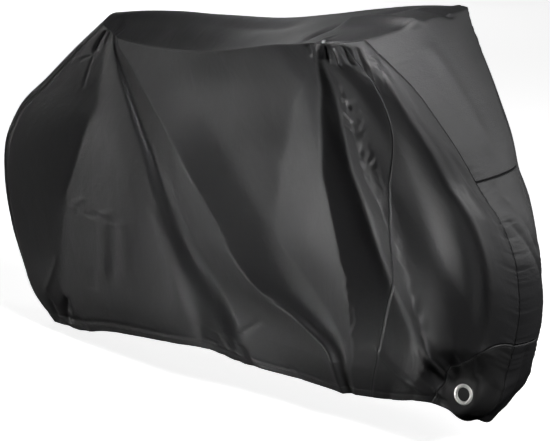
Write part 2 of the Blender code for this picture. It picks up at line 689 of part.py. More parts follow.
def make_eyelet(name, centre, axis, parent):
    """A turned grommet: a barrel through the patch, rolled out into a flange on each face."""
    outer_face = EYELET_GAP + EYELET_FLANGE
    inner_face = -(SHEET + EYELET_GAP + EYELET_FLANGE)
    barrel = EYELET_HOLE + EYELET_WALL
    lip = 0.0004                                     # rounding of the flanges' edges
    profile = [
        (EYELET_HOLE, inner_face + lip),
        (EYELET_HOLE, outer_face - lip),
        (EYELET_HOLE + lip, outer_face),
        (EYELET_OUTER - lip, outer_face),
        (EYELET_OUTER, outer_face - lip),
        (EYELET_OUTER, EYELET_GAP),
        (barrel, EYELET_GAP),
        (barrel, -(SHEET + EYELET_GAP)),
        (EYELET_OUTER, -(SHEET + EYELET_GAP)),
        (EYELET_OUTER, inner_face + lip),
        (EYELET_OUTER - lip, inner_face),
        (EYELET_HOLE + lip, inner_face),
    ]
    ring = bmesh.new()
    verts = [ring.verts.new((r, 0.0, z)) for r, z in profile]
    edges = [ring.edges.new((a, b)) for a, b in zip(verts, verts[1:] + verts[:1])]
    bmesh.ops.spin(
        ring,
        geom=verts + edges,
        cent=(0, 0, 0),
        axis=(0, 0, 1),
        angle=math.tau,
        steps=EYELET_STEPS,
        use_merge=True,
    )
    bmesh.ops.remove_doubles(ring, verts=ring.verts, dist=0.00001)
    bmesh.ops.recalc_face_normals(ring, faces=ring.faces)
    turn = Vector((0, 0, 1)).rotation_difference(axis).to_matrix().to_4x4()
    bmesh.ops.transform(ring, matrix=turn, verts=ring.verts)
    eyelet = add_object(name, ring, METAL, parent)
    eyelet.location = centre
    return eyelet


def main():
    for old in list(bpy.data.objects):
        bpy.data.objects.remove(old, do_unlink=True)
    hanger = bpy.data.objects.new("bicycle_cover", None)   # puts the saddle point at the origin
    hanger.location = -Vector(SADDLE_POINT)
    bpy.context.scene.collection.objects.link(hanger)

    skin, panel_of = build_skin()
    groups = {}
    for face, name in panel_of.items():
        groups.setdefault(name, []).append(face)
    for name, faces in groups.items():
        panel = cut_panel(faces)
        if not name.startswith("lock_patch"):
            thicken(panel)
            add_object(name, panel, CLOTH, hanger)
            continue
        side = -1 if name.endswith("right") else 1
        centre, axis = eyelet_place(panel.verts, side)
        press_flat(panel, centre, axis)
        thicken(panel)
        patch = add_object(name, panel, PATCH_CLOTH, hanger)
        punch_hole(patch, centre, axis, hanger)
        make_eyelet(name.replace("lock_patch", "eyelet"), centre, axis, hanger)
    skin.free()


main()
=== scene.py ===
# Fitted bicycle cover: coated polyester panels with draped folds, sewn seams, an elastic
# hem and two lock eyelets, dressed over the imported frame. Metres, +X is the front.
import math

import bmesh
import bpy
import numpy as np
from mathutils import Matrix, Vector


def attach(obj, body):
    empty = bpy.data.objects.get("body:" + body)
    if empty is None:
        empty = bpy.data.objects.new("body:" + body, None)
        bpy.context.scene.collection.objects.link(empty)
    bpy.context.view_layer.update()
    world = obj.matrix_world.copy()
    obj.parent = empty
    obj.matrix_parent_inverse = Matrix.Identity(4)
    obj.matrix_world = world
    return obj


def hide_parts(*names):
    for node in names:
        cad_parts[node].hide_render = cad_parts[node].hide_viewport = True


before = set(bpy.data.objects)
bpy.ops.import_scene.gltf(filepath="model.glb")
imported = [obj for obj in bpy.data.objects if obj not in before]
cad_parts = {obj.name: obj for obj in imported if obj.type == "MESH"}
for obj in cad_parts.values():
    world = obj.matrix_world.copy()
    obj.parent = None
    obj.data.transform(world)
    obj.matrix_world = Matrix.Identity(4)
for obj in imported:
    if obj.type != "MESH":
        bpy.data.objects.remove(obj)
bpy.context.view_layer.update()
print("frame loaded")

# camera, at the height of a standing viewer off the front right corner
viewpoint = {
    "azimuth": 35.1,  # degrees round from square on to the right side
    "pitch": 16.33,  # degrees down
    "place": (2.282, -2.541, 0.393),
    "lens": 79.37,  # mm, on a sensor of the width below
    "sensor": 36.0,
    "nearest": 0.05,  # metres, the ends of what it sees
    "farthest": 60.0,
}


def placeObject(name, data):
    thing = bpy.data.objects.new(name, data)
    bpy.context.scene.collection.objects.link(thing)
    return thing


def takeMesh(shape, name, material):
    # the mesh of a finished shape, which is freed
    mesh = bpy.data.meshes.new(name)
    shape.to_mesh(mesh)
    shape.free()
    mesh.materials.append(material)
    return mesh


def placeCamera():
    turn = math.radians(viewpoint["azimuth"])
    tip = math.radians(viewpoint["pitch"])
    back = Vector((math.sin(turn) * math.cos(tip), -math.cos(turn) * math.cos(tip), math.sin(tip)))
    right = Vector((math.cos(turn), math.sin(turn), 0.0))
    lens = bpy.data.cameras.new("studioCamera")
    lens.sensor_width = viewpoint["sensor"]
    lens.lens = viewpoint["lens"]
    lens.clip_start = viewpoint["nearest"]
    lens.clip_end = viewpoint["farthest"]
    camera = placeObject("studioCamera", lens)
    aim = Matrix((right, back.cross(right), back)).transposed().to_4x4()
    camera.matrix_world = Matrix.Translation(viewpoint["place"]) @ aim
    bpy.context.scene.camera = camera


placeCamera()

noiseLow, noiseHigh = 0.3, 0.7  # nearly all of a noise texture lies between these
waveRepeat = 0.314  # metres between the bands of a wave texture of scale 1
markDepth = 0.0001  # metres, depth of the fine marks on metal and thread


def linear(hexColour):
    values = [int(hexColour[i : i + 2], 16) / 255 for i in (1, 3, 5)]
    return [v / 12.92 if v <= 0.04045 else ((v + 0.055) / 1.055) ** 2.4 for v in values] + [1.0]


def addNode(tree, kind, settings=None, links=None):
    # kind: the node's type without its ShaderNode; settings: properties by name and inputs
    # by number or name; links: inputs and the output that feeds each, or a node for its first
    node = tree.nodes.new("ShaderNode" + kind)
    for key, value in (settings or {}).items():
        if isinstance(key, int) or key in node.inputs:
            node.inputs[key].default_value = value
        else:
            setattr(node, key, value)
    for key, source in (links or {}).items():
        output = source.outputs[0] if hasattr(source, "outputs") else source
        tree.links.new(output, node.inputs[key])
    return node


def startMaterial(name, values):
    # values: the shader's inputs that are the same all over the material
    material = bpy.data.materials.new(name)
    material.use_nodes = True
    shader = material.node_tree.nodes["Principled BSDF"]
    for key, value in values.items():
        shader.inputs[key].default_value = value
    return material, material.node_tree, shader


clothLook = {
    "colour": "#282829",  # dyed black, a little faded
    "faded": "#303031",  # where the coating is rubbed
    "patches": 7.0,  # rubbed patches per metre, each a hand wide
    "patchShare": 0.45,
    "seamRub": 0.15,  # rubbing at a seam's edge, and how far in it goes
    "seamRubReach": 0.008,
    "roughness": 0.44,
    "smoother": 0.04,  # how far the roughness strays down and up
    "rougher": 0.06,
    "filament": 0.70,  # gleam drawn out down the cloth by its smooth filament yarns
    "filamentTurn": 0.25,
    "specular": 0.4,
    "coat": 0.06,  # polyurethane coating on the face of the cloth
    "coatRoughness": 0.30,
    "thread": 0.0011,  # drawn spacing of the threads, about three real ones
    "weaveDepth": 0.00005,
    "slub": 0.0040,  # metres from one thick place of a yarn to the next
    "slubStretch": 0.4,
    "slubDepth": 0.00035,
    "seamEdge": 0.003,  # width of the edge turned under
    "stitchInset": 0.005,  # from a seam to its row of stitches
    "stitchGroove": 0.0012,  # half width of the groove that they pull in
    "grooveShare": 0.35,
    "seamDepth": 0.0010,
    "crinkle": 0.0022,  # depth of the small soft wrinkles
    "crinkleSize": 0.045,  # metres across one wrinkle
    "crinkleStretch": 0.45,
}


def clothColour(tree, look, patches, seam):
    # patches a hand wide, and the rubbed edges of the seams
    rubbed = addNode(
        tree, "MapRange", {1: 0.0, 2: look["seamRubReach"], 3: look["seamRub"], 4: 0.0}, {0: seam}
    )
    amount = addNode(
        tree, "Math", {"operation": "MULTIPLY_ADD", 1: look["patchShare"]}, {0: patches, 2: rubbed}
    )
    colours = {6: linear(look["colour"]), 7: linear(look["faded"])}
    return addNode(tree, "Mix", {"data_type": "RGBA"} | colours, {0: amount})


def threadRelief(tree, look, flat):
    # threads both ways, and thicker places some millimetres long that give the cloth its grain
    bands = {"Scale": waveRepeat / look["thread"], "Distortion": 0.0}
    warp, weft = (
        addNode(tree, "TexWave", {"bands_direction": way} | bands, {"Vector": flat})
        for way in ("X", "Y")
    )
    weave = addNode(
        tree, "Math", {"operation": "ADD"}, {0: warp.outputs["Fac"], 1: weft.outputs["Fac"]}
    )
    pulled = addNode(tree, "Mapping", {"Scale": (1.0, look["slubStretch"], 1.0)}, {"Vector": flat})
    slubs = addNode(
        tree, "TexNoise", {"Scale": 1 / look["slub"], "Detail": 2.0}, {"Vector": pulled}
    )
    return addNode(
        tree,
        "Math",
        {"operation": "MULTIPLY_ADD", 1: look["slubDepth"] / look["weaveDepth"]},
        {0: slubs, 2: weave},
    )


def wrinkleRelief(tree, look, flat):
    # small wrinkles that run down the cloth
    stretch = (1.0, look["crinkleStretch"], 1.0)
    stretched = addNode(tree, "Mapping", {"Scale": stretch}, {"Vector": flat})
    return addNode(
        tree,
        "TexNoise",
        {"Scale": 1 / look["crinkleSize"], "Detail": 5.0, "Roughness": 0.54, "Distortion": 0.4},
        {"Vector": stretched},
    )


def seamRelief(tree, look, seam):
    # the edge turned under at a seam, and the groove that its stitches pull in
    turned = addNode(
        tree,
        "MapRange",
        {"interpolation_type": "SMOOTHSTEP", 1: 0.0, 2: look["seamEdge"]},
        {0: seam},
    )
    groove = addNode(
        tree,
        "Math",
        {"operation": "COMPARE", 1: look["stitchInset"], 2: look["stitchGroove"]},
        {0: seam},
    )
    return addNode(
        tree, "Math", {"operation": "MULTIPLY_ADD", 1: -look["grooveShare"]}, {0: groove, 2: turned}
    )


def clothMaterial(name, look):
    # plain-woven polyester taffeta with a clear coating: a satin gleam, soft broad
    # highlights, a very fine weave and slight rubbing along seams
    cloth, tree, shader = startMaterial(
        name,
        {
            "Specular IOR Level": look["specular"],
            "Coat Weight": look["coat"],
            "Coat Roughness": look["coatRoughness"],
            "Anisotropic": look["filament"],
            "Anisotropic Rotation": look["filamentTurn"],
        },
    )
    flat = addNode(tree, "UVMap", {"uv_map": "flat"})
    along = addNode(tree, "Tangent", {"direction_type": "UV_MAP", "uv_map": "flat"})
    place = addNode(tree, "TexCoord").outputs["Object"]
    noise = {"Scale": look["patches"], "Detail": 4.0}
    patches = addNode(tree, "TexNoise", noise, {"Vector": place})
    seam = addNode(tree, "Attribute", {"attribute_name": "seam"}).outputs["Fac"]
    low, high = look["roughness"] - look["smoother"], look["roughness"] + look["rougher"]
    spread = {1: noiseLow, 2: noiseHigh, 3: low, 4: high}
    gloss = addNode(tree, "MapRange", spread, {0: patches})
    tint = clothColour(tree, look, patches, seam)
    reliefs = {
        "crinkle": wrinkleRelief(tree, look, flat),
        "seamDepth": seamRelief(tree, look, seam),
        "weaveDepth": threadRelief(tree, look, flat),
    }
    under = {}
    for depth, relief in reliefs.items():
        size = {"Strength": 1.0, "Distance": look[depth]}
        bumped = addNode(tree, "Bump", size, {"Height": relief} | under)
        under = {"Normal": bumped}
    tree.links.new(along.outputs[0], shader.inputs["Tangent"])
    tree.links.new(tint.outputs[2], shader.inputs["Base Color"])
    tree.links.new(gloss.outputs[0], shader.inputs["Roughness"])
    tree.links.new(bumped.outputs[0], shader.inputs["Normal"])
    return cloth


nickelLook = {
    "colour": "#f1f0ec",
    "metallic": 0.55,
    "marks": 420.0,  # turning marks per metre
    "detail": 3.0,
    "roughness": (0.26, 0.42),
    "relief": 0.25,
}

threadLook = {
    "colour": "#3b3b3c",
    "sheen": 0.2,
    "marks": 1500.0,  # plies per metre
    "detail": 2.0,
    "roughness": (0.38, 0.60),
    "relief": 0.5,
}


def markedMaterial(name, look, values):
    # one fine noise that strays the roughness and roughens the face
    material, tree, shader = startMaterial(name, {"Base Color": linear(look["colour"])} | values)
    place = addNode(tree, "TexCoord").outputs["Object"]
    noise = {"Scale": look["marks"], "Detail": look["detail"]}
    marks = addNode(tree, "TexNoise", noise, {"Vector": place})
    low, high = look["roughness"]
    spread = {1: noiseLow, 2: noiseHigh, 3: low, 4: high}
    gloss = addNode(tree, "MapRange", spread, {0: marks})
    depth = {"Strength": look["relief"], "Distance": markDepth}
    relief = addNode(tree, "Bump", depth, {"Height": marks})
    tree.links.new(gloss.outputs[0], shader.inputs["Roughness"])
    tree.links.new(relief.outputs[0], shader.inputs["Normal"])
    return material


taffeta = clothMaterial("coatedPolyesterTaffeta", clothLook)
patchCloth = clothMaterial(
    "doubledPolyesterPatch", clothLook | {"colour": "#232323", "roughness": 0.45, "crinkle": 0.0005}
)
# nickel-plated brass, spun and polished: bright, slightly warm, with fine turning marks
nickel = markedMaterial("polishedNickelPlate", nickelLook, {"Metallic": nickelLook["metallic"]})
# twisted black polyester sewing thread, a little glossier than the cloth
thread = markedMaterial("blackPolyesterThread", threadLook, {"Sheen Weight": threadLook["sheen"]})
print("materials ready")

# the shell: tables in metres, ahead of the rear axle and above the ground
shell = {
    "saddlePoint": (0.150, 0.0, 0.986),
    "sheet": 0.0016,  # coated cloth with its folded seams
    "length": 1.30,  # cloth from the rear seam to the front seam
    "drop": 1.00,  # cloth from the top seam to the hem
    "seamReach": 0.045,  # how far a side panel's fold runs on into the strip
    "upperRows": 168,  # cells down from the top seam to the patch
    "lowerRows": 50,  # and on to the hem
    "stripCells": 72,
    "leftDrift": 0.012,  # how far the left side's folds stray from the right's
    "leftRise": 12,  # and their heights, as a multiple of that
    "channel": 0.018,  # turned hem with the elastic in it
    "channelGroove": 0.004,  # half width and depth of the groove that its stitches pull in
    "channelDepth": 0.0012,
    "patchTop": 0.80,  # share down of the patch's edge, at the front seam
    "patchTopRear": 0.90,  # and at its rear end
    "crossSeamRow": 84,  # cells down to the seam across the strip
    "eyeletHole": 0.0185,  # radius cut in the cloth under the flanges
    "meanHalfStrip": 0.12,  # about half the width of the centre strip
    "stripFade": 0.2,  # share of a strip's fold over which it fades in, and out
    "crumpleFade": 0.06,  # share down over which a crumpled stretch fades
    "puckerFade": 0.05,
    "gatherPower": 1.6,  # of a hem gather's section
}
# share along the edge, x, y, z
rearEdge = (
    (0.0, 0.12, -0.07, 0.962),
    (0.13, 0.025, -0.07, 0.881),
    (0.3, -0.101, -0.07, 0.769),
    (0.46, -0.214, -0.074, 0.675),
    (0.58, -0.276, -0.074, 0.567),
    (0.68, -0.294, -0.07, 0.47),
    (0.78, -0.29, -0.066, 0.36),
    (0.88, -0.258, -0.068, 0.222),
    (0.95, -0.206, -0.076, 0.11),
    (1.0, -0.122, -0.082, 0.036),
)
topEdge = (
    (0.0, 0.12, -0.07, 0.962),
    (0.12, 0.185, -0.092, 0.935),
    (0.27, 0.311, -0.108, 0.921),
    (0.42, 0.48, -0.145, 0.926),
    (0.58, 0.665, -0.215, 0.953),
    (0.74, 0.822, -0.262, 0.983),
    (0.86, 0.94, -0.325, 1.002),
    (0.91, 0.995, -0.345, 1.012),
    (0.96, 1.045, -0.318, 1.013),
    (1.0, 1.072, -0.27, 1.014),
)
frontEdge = (
    (0.0, 1.072, -0.27, 1.014),
    (0.07, 1.106, -0.235, 0.969),
    (0.14, 1.151, -0.2, 0.914),
    (0.25, 1.205, -0.155, 0.823),
    (0.33, 1.243, -0.125, 0.753),
    (0.41, 1.279, -0.1, 0.679),
    (0.52, 1.344, -0.085, 0.584),
    (0.66, 1.384, -0.08, 0.447),
    (0.81, 1.374, -0.07, 0.295),
    (0.92, 1.34, -0.068, 0.17),
    (1.0, 1.292, -0.055, 0.086),
)
hemEdge = (
    (0.0, -0.122, -0.082, 0.036),
    (0.06, 0.002, -0.1, 0.041),
    (0.15, 0.119, -0.115, 0.07),
    (0.25, 0.25, -0.13, 0.091),
    (0.36, 0.4, -0.145, 0.109),
    (0.46, 0.545, -0.16, 0.127),
    (0.53, 0.647, -0.145, 0.103),
    (0.64, 0.8, -0.125, 0.097),
    (0.75, 0.942, -0.11, 0.095),
    (0.85, 1.078, -0.12, 0.11),
    (0.94, 1.215, -0.138, 0.139),
    (0.975, 1.265, -0.122, 0.128),
    (1.0, 1.292, -0.055, 0.086),
)
# how the left edges differ, because the handlebar is turned a little: share, x, z
leftTopShift = ((0.0, 0.0, 0.0), (0.8, 0.0, 0.0), (1.0, -0.022, 0.019))
leftFrontShift = (
    (0.0, -0.022, 0.019),
    (0.14, -0.014, 0.006),
    (0.25, 0.0, 0.0),
    (0.37, 0.01, 0.0),
    (0.52, -0.01, 0.0),
    (0.66, -0.018, 0.0),
    (0.81, 0.0, 0.0),
    (0.92, 0.008, 0.0),
    (1.0, -0.004, 0.0),
)
leftHemShift = ((0.0, 0.0, 0.0), (0.9, 0.0, 0.0), (1.0, -0.004, 0.0))
# middle of the centre strip: share, x, z
rearCrest = (
    (0.0, 0.105, 0.985),
    (0.13, -0.01, 0.899),
    (0.3, -0.147, 0.787),
    (0.46, -0.268, 0.685),
    (0.58, -0.332, 0.58),
    (0.68, -0.35, 0.47),
    (0.78, -0.342, 0.345),
    (0.88, -0.303, 0.205),
    (0.95, -0.24, 0.1),
    (1.0, -0.168, 0.03),
)
topCrest = (
    (0.0, 0.105, 0.985),
    (0.12, 0.19, 0.995),
    (0.27, 0.315, 1.003),
    (0.42, 0.48, 1.006),
    (0.58, 0.66, 1.008),
    (0.74, 0.82, 1.028),
    (0.86, 0.94, 1.047),
    (0.91, 1.0, 1.054),
    (0.96, 1.055, 1.052),
    (1.0, 1.098, 1.038),
)
frontCrest = (
    (0.0, 1.098, 1.038),
    (0.07, 1.133, 0.985),
    (0.14, 1.17, 0.925),
    (0.25, 1.222, 0.83),
    (0.33, 1.262, 0.757),
    (0.41, 1.3, 0.682),
    (0.52, 1.36, 0.585),
    (0.66, 1.401, 0.447),
    (0.81, 1.4, 0.295),
    (0.92, 1.364, 0.165),
    (1.0, 1.3, 0.066),
)
# the power of the strip's arch: the higher, the flatter its middle
crown = {"rear": 2.2, "top": 1.6, "front": 2.0}
# lines of the grid: cells from the line before, share along at 0, 1/4, 1/2, 3/4 and all the drop
columnLines = (
    (0, 0.0, 0.0, 0.0, 0.0, 0.0),
    (30, 0.06, 0.162, 0.186, 0.137, 0.06),
    (28, 0.09, 0.255, 0.354, 0.412, 0.437),
    (10, 0.104, 0.273, 0.375, 0.453, 0.538),
    (18, 0.118, 0.329, 0.439, 0.553, 0.65),
    (18, 0.24, 0.405, 0.51, 0.59, 0.715),
    (20, 0.78, 0.69, 0.622, 0.618, 0.735),
    (26, 0.918, 0.832, 0.731, 0.75, 0.768),
    (18, 0.93, 0.85, 0.78, 0.79, 0.795),
    (24, 0.96, 0.922, 0.842, 0.815, 0.815),
    (26, 0.986, 0.946, 0.925, 0.935, 0.93),
    (26, 1.0, 1.0, 1.0, 1.0, 1.0),
)
frontPanelLine, patchLine = 9, 10  # where the front panel and the patch begin
# lines along which the right side is folded, from the rear to the front: how soft the fold
# is and its place along, both in thousandths of the length, and its height in millimetres,
# at each share of foldDrops down
foldDrops = (0.0, 0.1, 0.2, 0.35, 0.5, 0.65, 0.8, 0.9, 1.0)
foldGap = 0.006  # least share along from one line to the next
rearEdgeRises = (0, 3, 7, 11, 12, 11, 8, 4, 0)
foldLines = (
    (7, (66, 111, 144, 182, 184, 164, 117, 79, 33),
     (-2, -6, -10, -13, -18, -18, -11, -6, -2)),  # valley behind the rear field
    (30, (83, 160, 208, 263, 292, 301, 292, 273, 227),
     (2, 5, 8, 11, 14, 13, 9, 4, 1)),  # soft ridge of the rear field
    (3, (98, 168, 229, 299, 352, 391, 421, 444, 437),
     (1, 2, 4, 6, 7, 7, 7, 4, 1)),  # end of the rear field
    (4, (97, 164, 226, 298, 350, 393, 444, 496, 527),
     (-3, -5, -8, -10, -10, -12, -14, -13, -8)),  # long valley down from the saddle
    (5, (105, 183, 250, 320, 375, 419, 471, 524, 546),
     (-3, -4, -6, -6, -6, -8, -17, -19, -14)),  # foot of the long ridge's rear slope
    (3, (122, 231, 302, 380, 439, 508, 577, 715, 755),
     (4, 7, 10, 14, 17, 23, 25, 20, 13)),  # long ridge from the saddle to the elbow
    (16, (285, 344, 404, 486, 543, 592, 638, 727, 752),
     (-3, -4, -7, -8, -9, -9, -5, -2, -1)),  # valley ahead of the long ridge
    (30, (599, 601, 603, 602, 592, 592, 669, 736, 757),
     (-3, -3, -4, -5, -6, -8, -4, -1, 0)),  # middle field
    (5, (915, 803, 717, 659, 622, 609, 690, 746, 765),
     (-2, -3, -4, -6, -8, -8, -4, 0, 0)),  # foot of the grip's slope
    (3, (924, 855, 799, 755, 732, 739, 756, 768, 778),
     (6, 12, 18, 26, 31, 33, 28, 18, 8)),  # ridge that hangs from the grip
    (6, (915, 866, 833, 794, 780, 798, 845, 895, 963),
     (-2, -4, -8, -11, -14, -16, -13, -8, -3)),  # deep valley ahead of that ridge
    (5, (919, 880, 860, 834, 825, 843, 877, 925, 980),
     (3, 4, 6, 8, 9, 9, 8, 5, 3)),  # crumpled ridge from the lever to the lock
    (8, (921, 892, 877, 851, 847, 863, 895, 938, 988),
     (2, 3, 3, 3, 3, 3, 3, 1, 0)),  # its front foot
    (15, (988, 956, 929, 905, 890, 904, 959, 983, 994),
     (-4, -8, -15, -22, -24, -21, -10, -2, 0)),  # valley behind the front roll
    (12, (994, 967, 946, 934, 927, 941, 976, 985, 994),
     (-1, -2, -5, -8, -9, -5, 0, 0, 0)),  # slope of the front roll
    (8, (1000, 975, 961, 957, 957, 973, 987, 992, 997),
     (1, 3, 6, 6, 6, 6, 1, 0, 0)),  # front roll, beside the front seam
    (4, (1009, 986, 972, 972, 974, 988, 997, 1003, 1009),
     (-1, -2, -2, -2, -2, -1, 0, 0, 0)),  # crease ahead of the roll
    (6, (1014, 992, 982, 982, 978, 991, 997, 1001, 1004),
     (1, 1, 3, 5, 5, 1, 0, 0, 0)),  # band along the front seam
)
# small folds and creases: thousandths along and down where each starts and ends, then in
# millimetres its bow, half width at the start and at the end, and height, then the power
# of its section
smallFolds = (
    # notch beside the saddle, its tail, a second one and a crease across
    (38, 12, 62, 118, -9, 7, 8, -9, 1.4),
    (67, 125, 107, 272, 0, 4, 5, -4, 1.4),
    (65, 7, 83, 68, 0, 4, 4, -4, 1.4),
    (32, 162, 60, 123, 0, 4, 3, -3, 1.4),
    # line down behind the rear wheel's middle, and wrinkles at the height of its axle
    (177, 408, 128, 733, 26, 4, 6, -3, 1.4),
    (152, 750, 205, 693, 8, 4, 5, 2.6, 1.4),
    (195, 742, 245, 722, -11, 4, 5, -2.8, 1.4),
    (238, 727, 285, 698, -12, 5, 5, 3, 1.4),
    (253, 752, 318, 725, -15, 4, 6, 2.6, 1.5),
    # folds that hang below the wrinkles
    (277, 733, 247, 907, 8, 9, 12, -5, 1.7),
    (245, 753, 220, 903, 9, 7, 9, 3.6, 1.7),
    (307, 735, 290, 900, 4, 8, 10, 4, 1.7),
    (190, 875, 183, 923, 2, 4, 4, -3, 1.4),
    # gathers of the rear corner
    (82, 938, 32, 993, -1, 5, 11, -11, 1.5),
    (87, 860, 20, 953, 0, 5, 5, 2, 1.5),
    (88, 965, 67, 993, 0, 4, 7, -4, 1.5),
    (32, 953, 15, 997, -1, 4, 6, -4, 1.5),
    # swell ahead of the long valley, low down
    (373, 663, 428, 960, 9, 12, 16, 6, 1.7),
    # elbow of the long ridge, and a short crease below it
    (590, 822, 722, 902, 14, 6, 6, -6, 1.4),
    (535, 932, 585, 878, 0, 4, 4, -6, 1.3),
    # gathers and a lump at the hem
    (472, 943, 472, 978, -2, 5, 7, -6, 1.5),
    (488, 948, 492, 987, 0, 5, 7, -7, 1.5),
    (515, 945, 513, 987, 1, 4, 6, -5, 1.5),
    (530, 957, 533, 990, 3, 6, 9, 5, 1.6),
    (352, 967, 340, 990, 0, 4, 6, -3, 1.5),
    (263, 972, 243, 995, -2, 4, 6, -3, 1.5),
    (633, 970, 653, 1000, 0, 4, 6, -3, 1.5),
    # creases from the hem's side to the lock
    (800, 870, 930, 988, -3, 5, 8, 7, 1.4),
    (867, 858, 943, 985, 0, 5, 8, 7, 1.4),
    # creases below the grip
    (880, 7, 865, 58, -3, 4, 6, -8, 1.4),
    (908, 12, 885, 57, 4, 4, 5, 6, 1.4),
    (927, 12, 898, 78, -1, 4, 6, -6, 1.4),
    (847, 47, 915, 52, 37, 4, 4, -3, 1.4),
    (935, 20, 908, 100, 2, 4, 5, 6, 1.4),
    # creases between the grip and the front seam
    (955, 15, 930, 90, 1, 5, 6, -7, 1.4),
    (968, 15, 942, 88, 2, 4, 5, 6, 1.4),
    (977, 23, 938, 127, 2, 5, 6, -6, 1.4),
    (970, 75, 928, 185, -1, 4, 6, 3, 1.4),
    (982, 88, 945, 180, 0, 4, 6, -3, 1.4),
    # knots at the brake lever
    (845, 192, 863, 223, 15, 4, 4, 6, 1.4),
    (830, 232, 857, 253, 4, 4, 4, -7, 1.4),
    (812, 278, 845, 297, 15, 4, 4, 4.5, 1.4),
    # foot of the front roll
    (985, 325, 998, 587, 2, 5, 6, -4, 1.4),
    # creases of the nose and of the patch
    (995, 987, 1000, 900, -1, 3, 4, 3, 1.4),
    (988, 972, 993, 882, -1, 3, 4, -3, 1.4),
    (935, 858, 960, 915, 2, 3, 4, 1.5, 1.4),
    (965, 868, 968, 915, 0, 3, 4, 2.5, 1.4),
    # ridges, valleys and folds that run together at the lock
    (877, 818, 930, 907, -2, 5, 7, 7, 1.3),
    (885, 847, 958, 955, -1, 4, 6, 9, 1.3),
    (880, 858, 953, 973, -2, 4, 6, -4, 1.3),
    (925, 815, 955, 907, -1, 5, 6, 3, 1.3),
    (887, 918, 960, 988, -6, 4, 7, 6, 1.3),
    (960, 848, 972, 907, 4, 5, 6, -4, 1.4),
    # fold of the nose, and one over the patch
    (993, 980, 1000, 873, -3, 4, 7, 7, 1.3),
    (957, 858, 990, 843, 10, 5, 5, 3, 1.4),
)
creaseEnds = {
    "tail": 0.22,  # share of a crease over which it fades out
    "rise": 0.16,  # and in, from a part of its height
    "riseFrom": 0.25,
    "past": 0.02,  # metres that it runs on past its ends
    "narrowing": 0.7,  # power with which its narrow part is lower
}
# crumpled stretches of fold lines: number of the line, counted from 1, from and to as
# shares down, then half width, size of a facet and depth
crumpledLines = (
    (12, 0.1, 0.9, 0.011, 0.052, 0.0036),
    (13, 0.14, 0.5, 0.009, 0.032, 0.002),
    (10, 0.02, 0.14, 0.014, 0.022, 0.002),
    (10, 0.62, 0.9, 0.008, 0.034, 0.0028),
    (3, 0.15, 0.95, 0.007, 0.04, 0.0008),
    (6, 0.55, 0.95, 0.01, 0.04, 0.001),
    (16, 0.02, 0.16, 0.012, 0.026, 0.002),
)
# puckers of the seams: edge of the panel, from and to as shares, spacing, depth, reach
puckers = (
    ("front", 0.4, 0.92, 0.019, 0.0034, 0.02),
    ("front", 0.02, 0.42, 0.026, 0.0008, 0.012),
    ("top", 0.02, 0.98, 0.03, 0.0008, 0.014),
    ("rear", 0.03, 0.97, 0.028, 0.0009, 0.014),
    ("hem", 0.01, 0.99, 0.019, 0.0009, 0.02),
)
puckerShape = {
    "sway": 0.5,  # turns by which the spacing wanders, and how fast it does
    "swayRate": 1.7,
    "lean": 9,  # turns for each metre in from the seam
    "level": 0.6,  # of the smooth cloth, when the crests are at 1 and the valleys at 0
    "uneven": 0.35,  # share by which the depth wanders
}
# gathers of the hem: share along it, half width, depth, length
hemGathers = (
    (0.03, 0.01, 0.004, 0.08),
    (0.075, 0.012, 0.006, 0.1),
    (0.19, 0.014, 0.002, 0.06),
    (0.345, 0.014, 0.002, 0.06),
    (0.462, 0.01, 0.005, 0.07),
    (0.49, 0.009, 0.006, 0.08),
    (0.518, 0.009, 0.006, 0.08),
    (0.545, 0.01, 0.004, 0.07),
    (0.65, 0.014, 0.002, 0.06),
    (0.76, 0.014, 0.002, 0.06),
    (0.85, 0.012, 0.003, 0.07),
    (0.895, 0.01, 0.003, 0.07),
)
# folds of the strip: run and across at the start and at the end, half width, height and
# the power of the section; the run counts 0 to 1 up the rear, to 2 over the top and to 3
# down the front, and across goes from -1 at the right to 1
stripFolds = (
    (1.04, -0.75, 1.34, -0.62, 0.024, -0.012, 1.6),
    (1.04, 0.7, 1.36, 0.6, 0.024, -0.011, 1.6),
    (1.3, -0.35, 1.75, -0.45, 0.04, -0.008, 1.8),
    (1.34, 0.45, 1.72, 0.4, 0.04, -0.007, 1.8),
    (1.88, -0.62, 2.02, -0.3, 0.03, 0.016, 1.8),
    (1.84, -0.95, 1.95, 0.1, 0.022, -0.014, 1.4),
    (1.95, 0.05, 2.02, 0.4, 0.02, -0.008, 1.4),
    (2.03, -0.4, 2.38, -0.1, 0.03, 0.005, 1.8),
    (2.4, -0.6, 2.62, 0.4, 0.014, -0.004, 1.4),
    (2.48, -0.9, 2.7, 0.6, 0.014, -0.004, 1.4),
    (2.8, -0.5, 2.97, -0.2, 0.014, -0.006, 1.4),
    (2.78, 0.4, 2.97, 0.2, 0.014, -0.006, 1.4),
    (0.1, -0.4, 0.5, -0.3, 0.026, 0.005, 1.8),
    (0.03, 0.3, 0.2, 0.3, 0.014, -0.006, 1.5),
    (0.03, -0.3, 0.18, -0.35, 0.014, -0.006, 1.5),
)


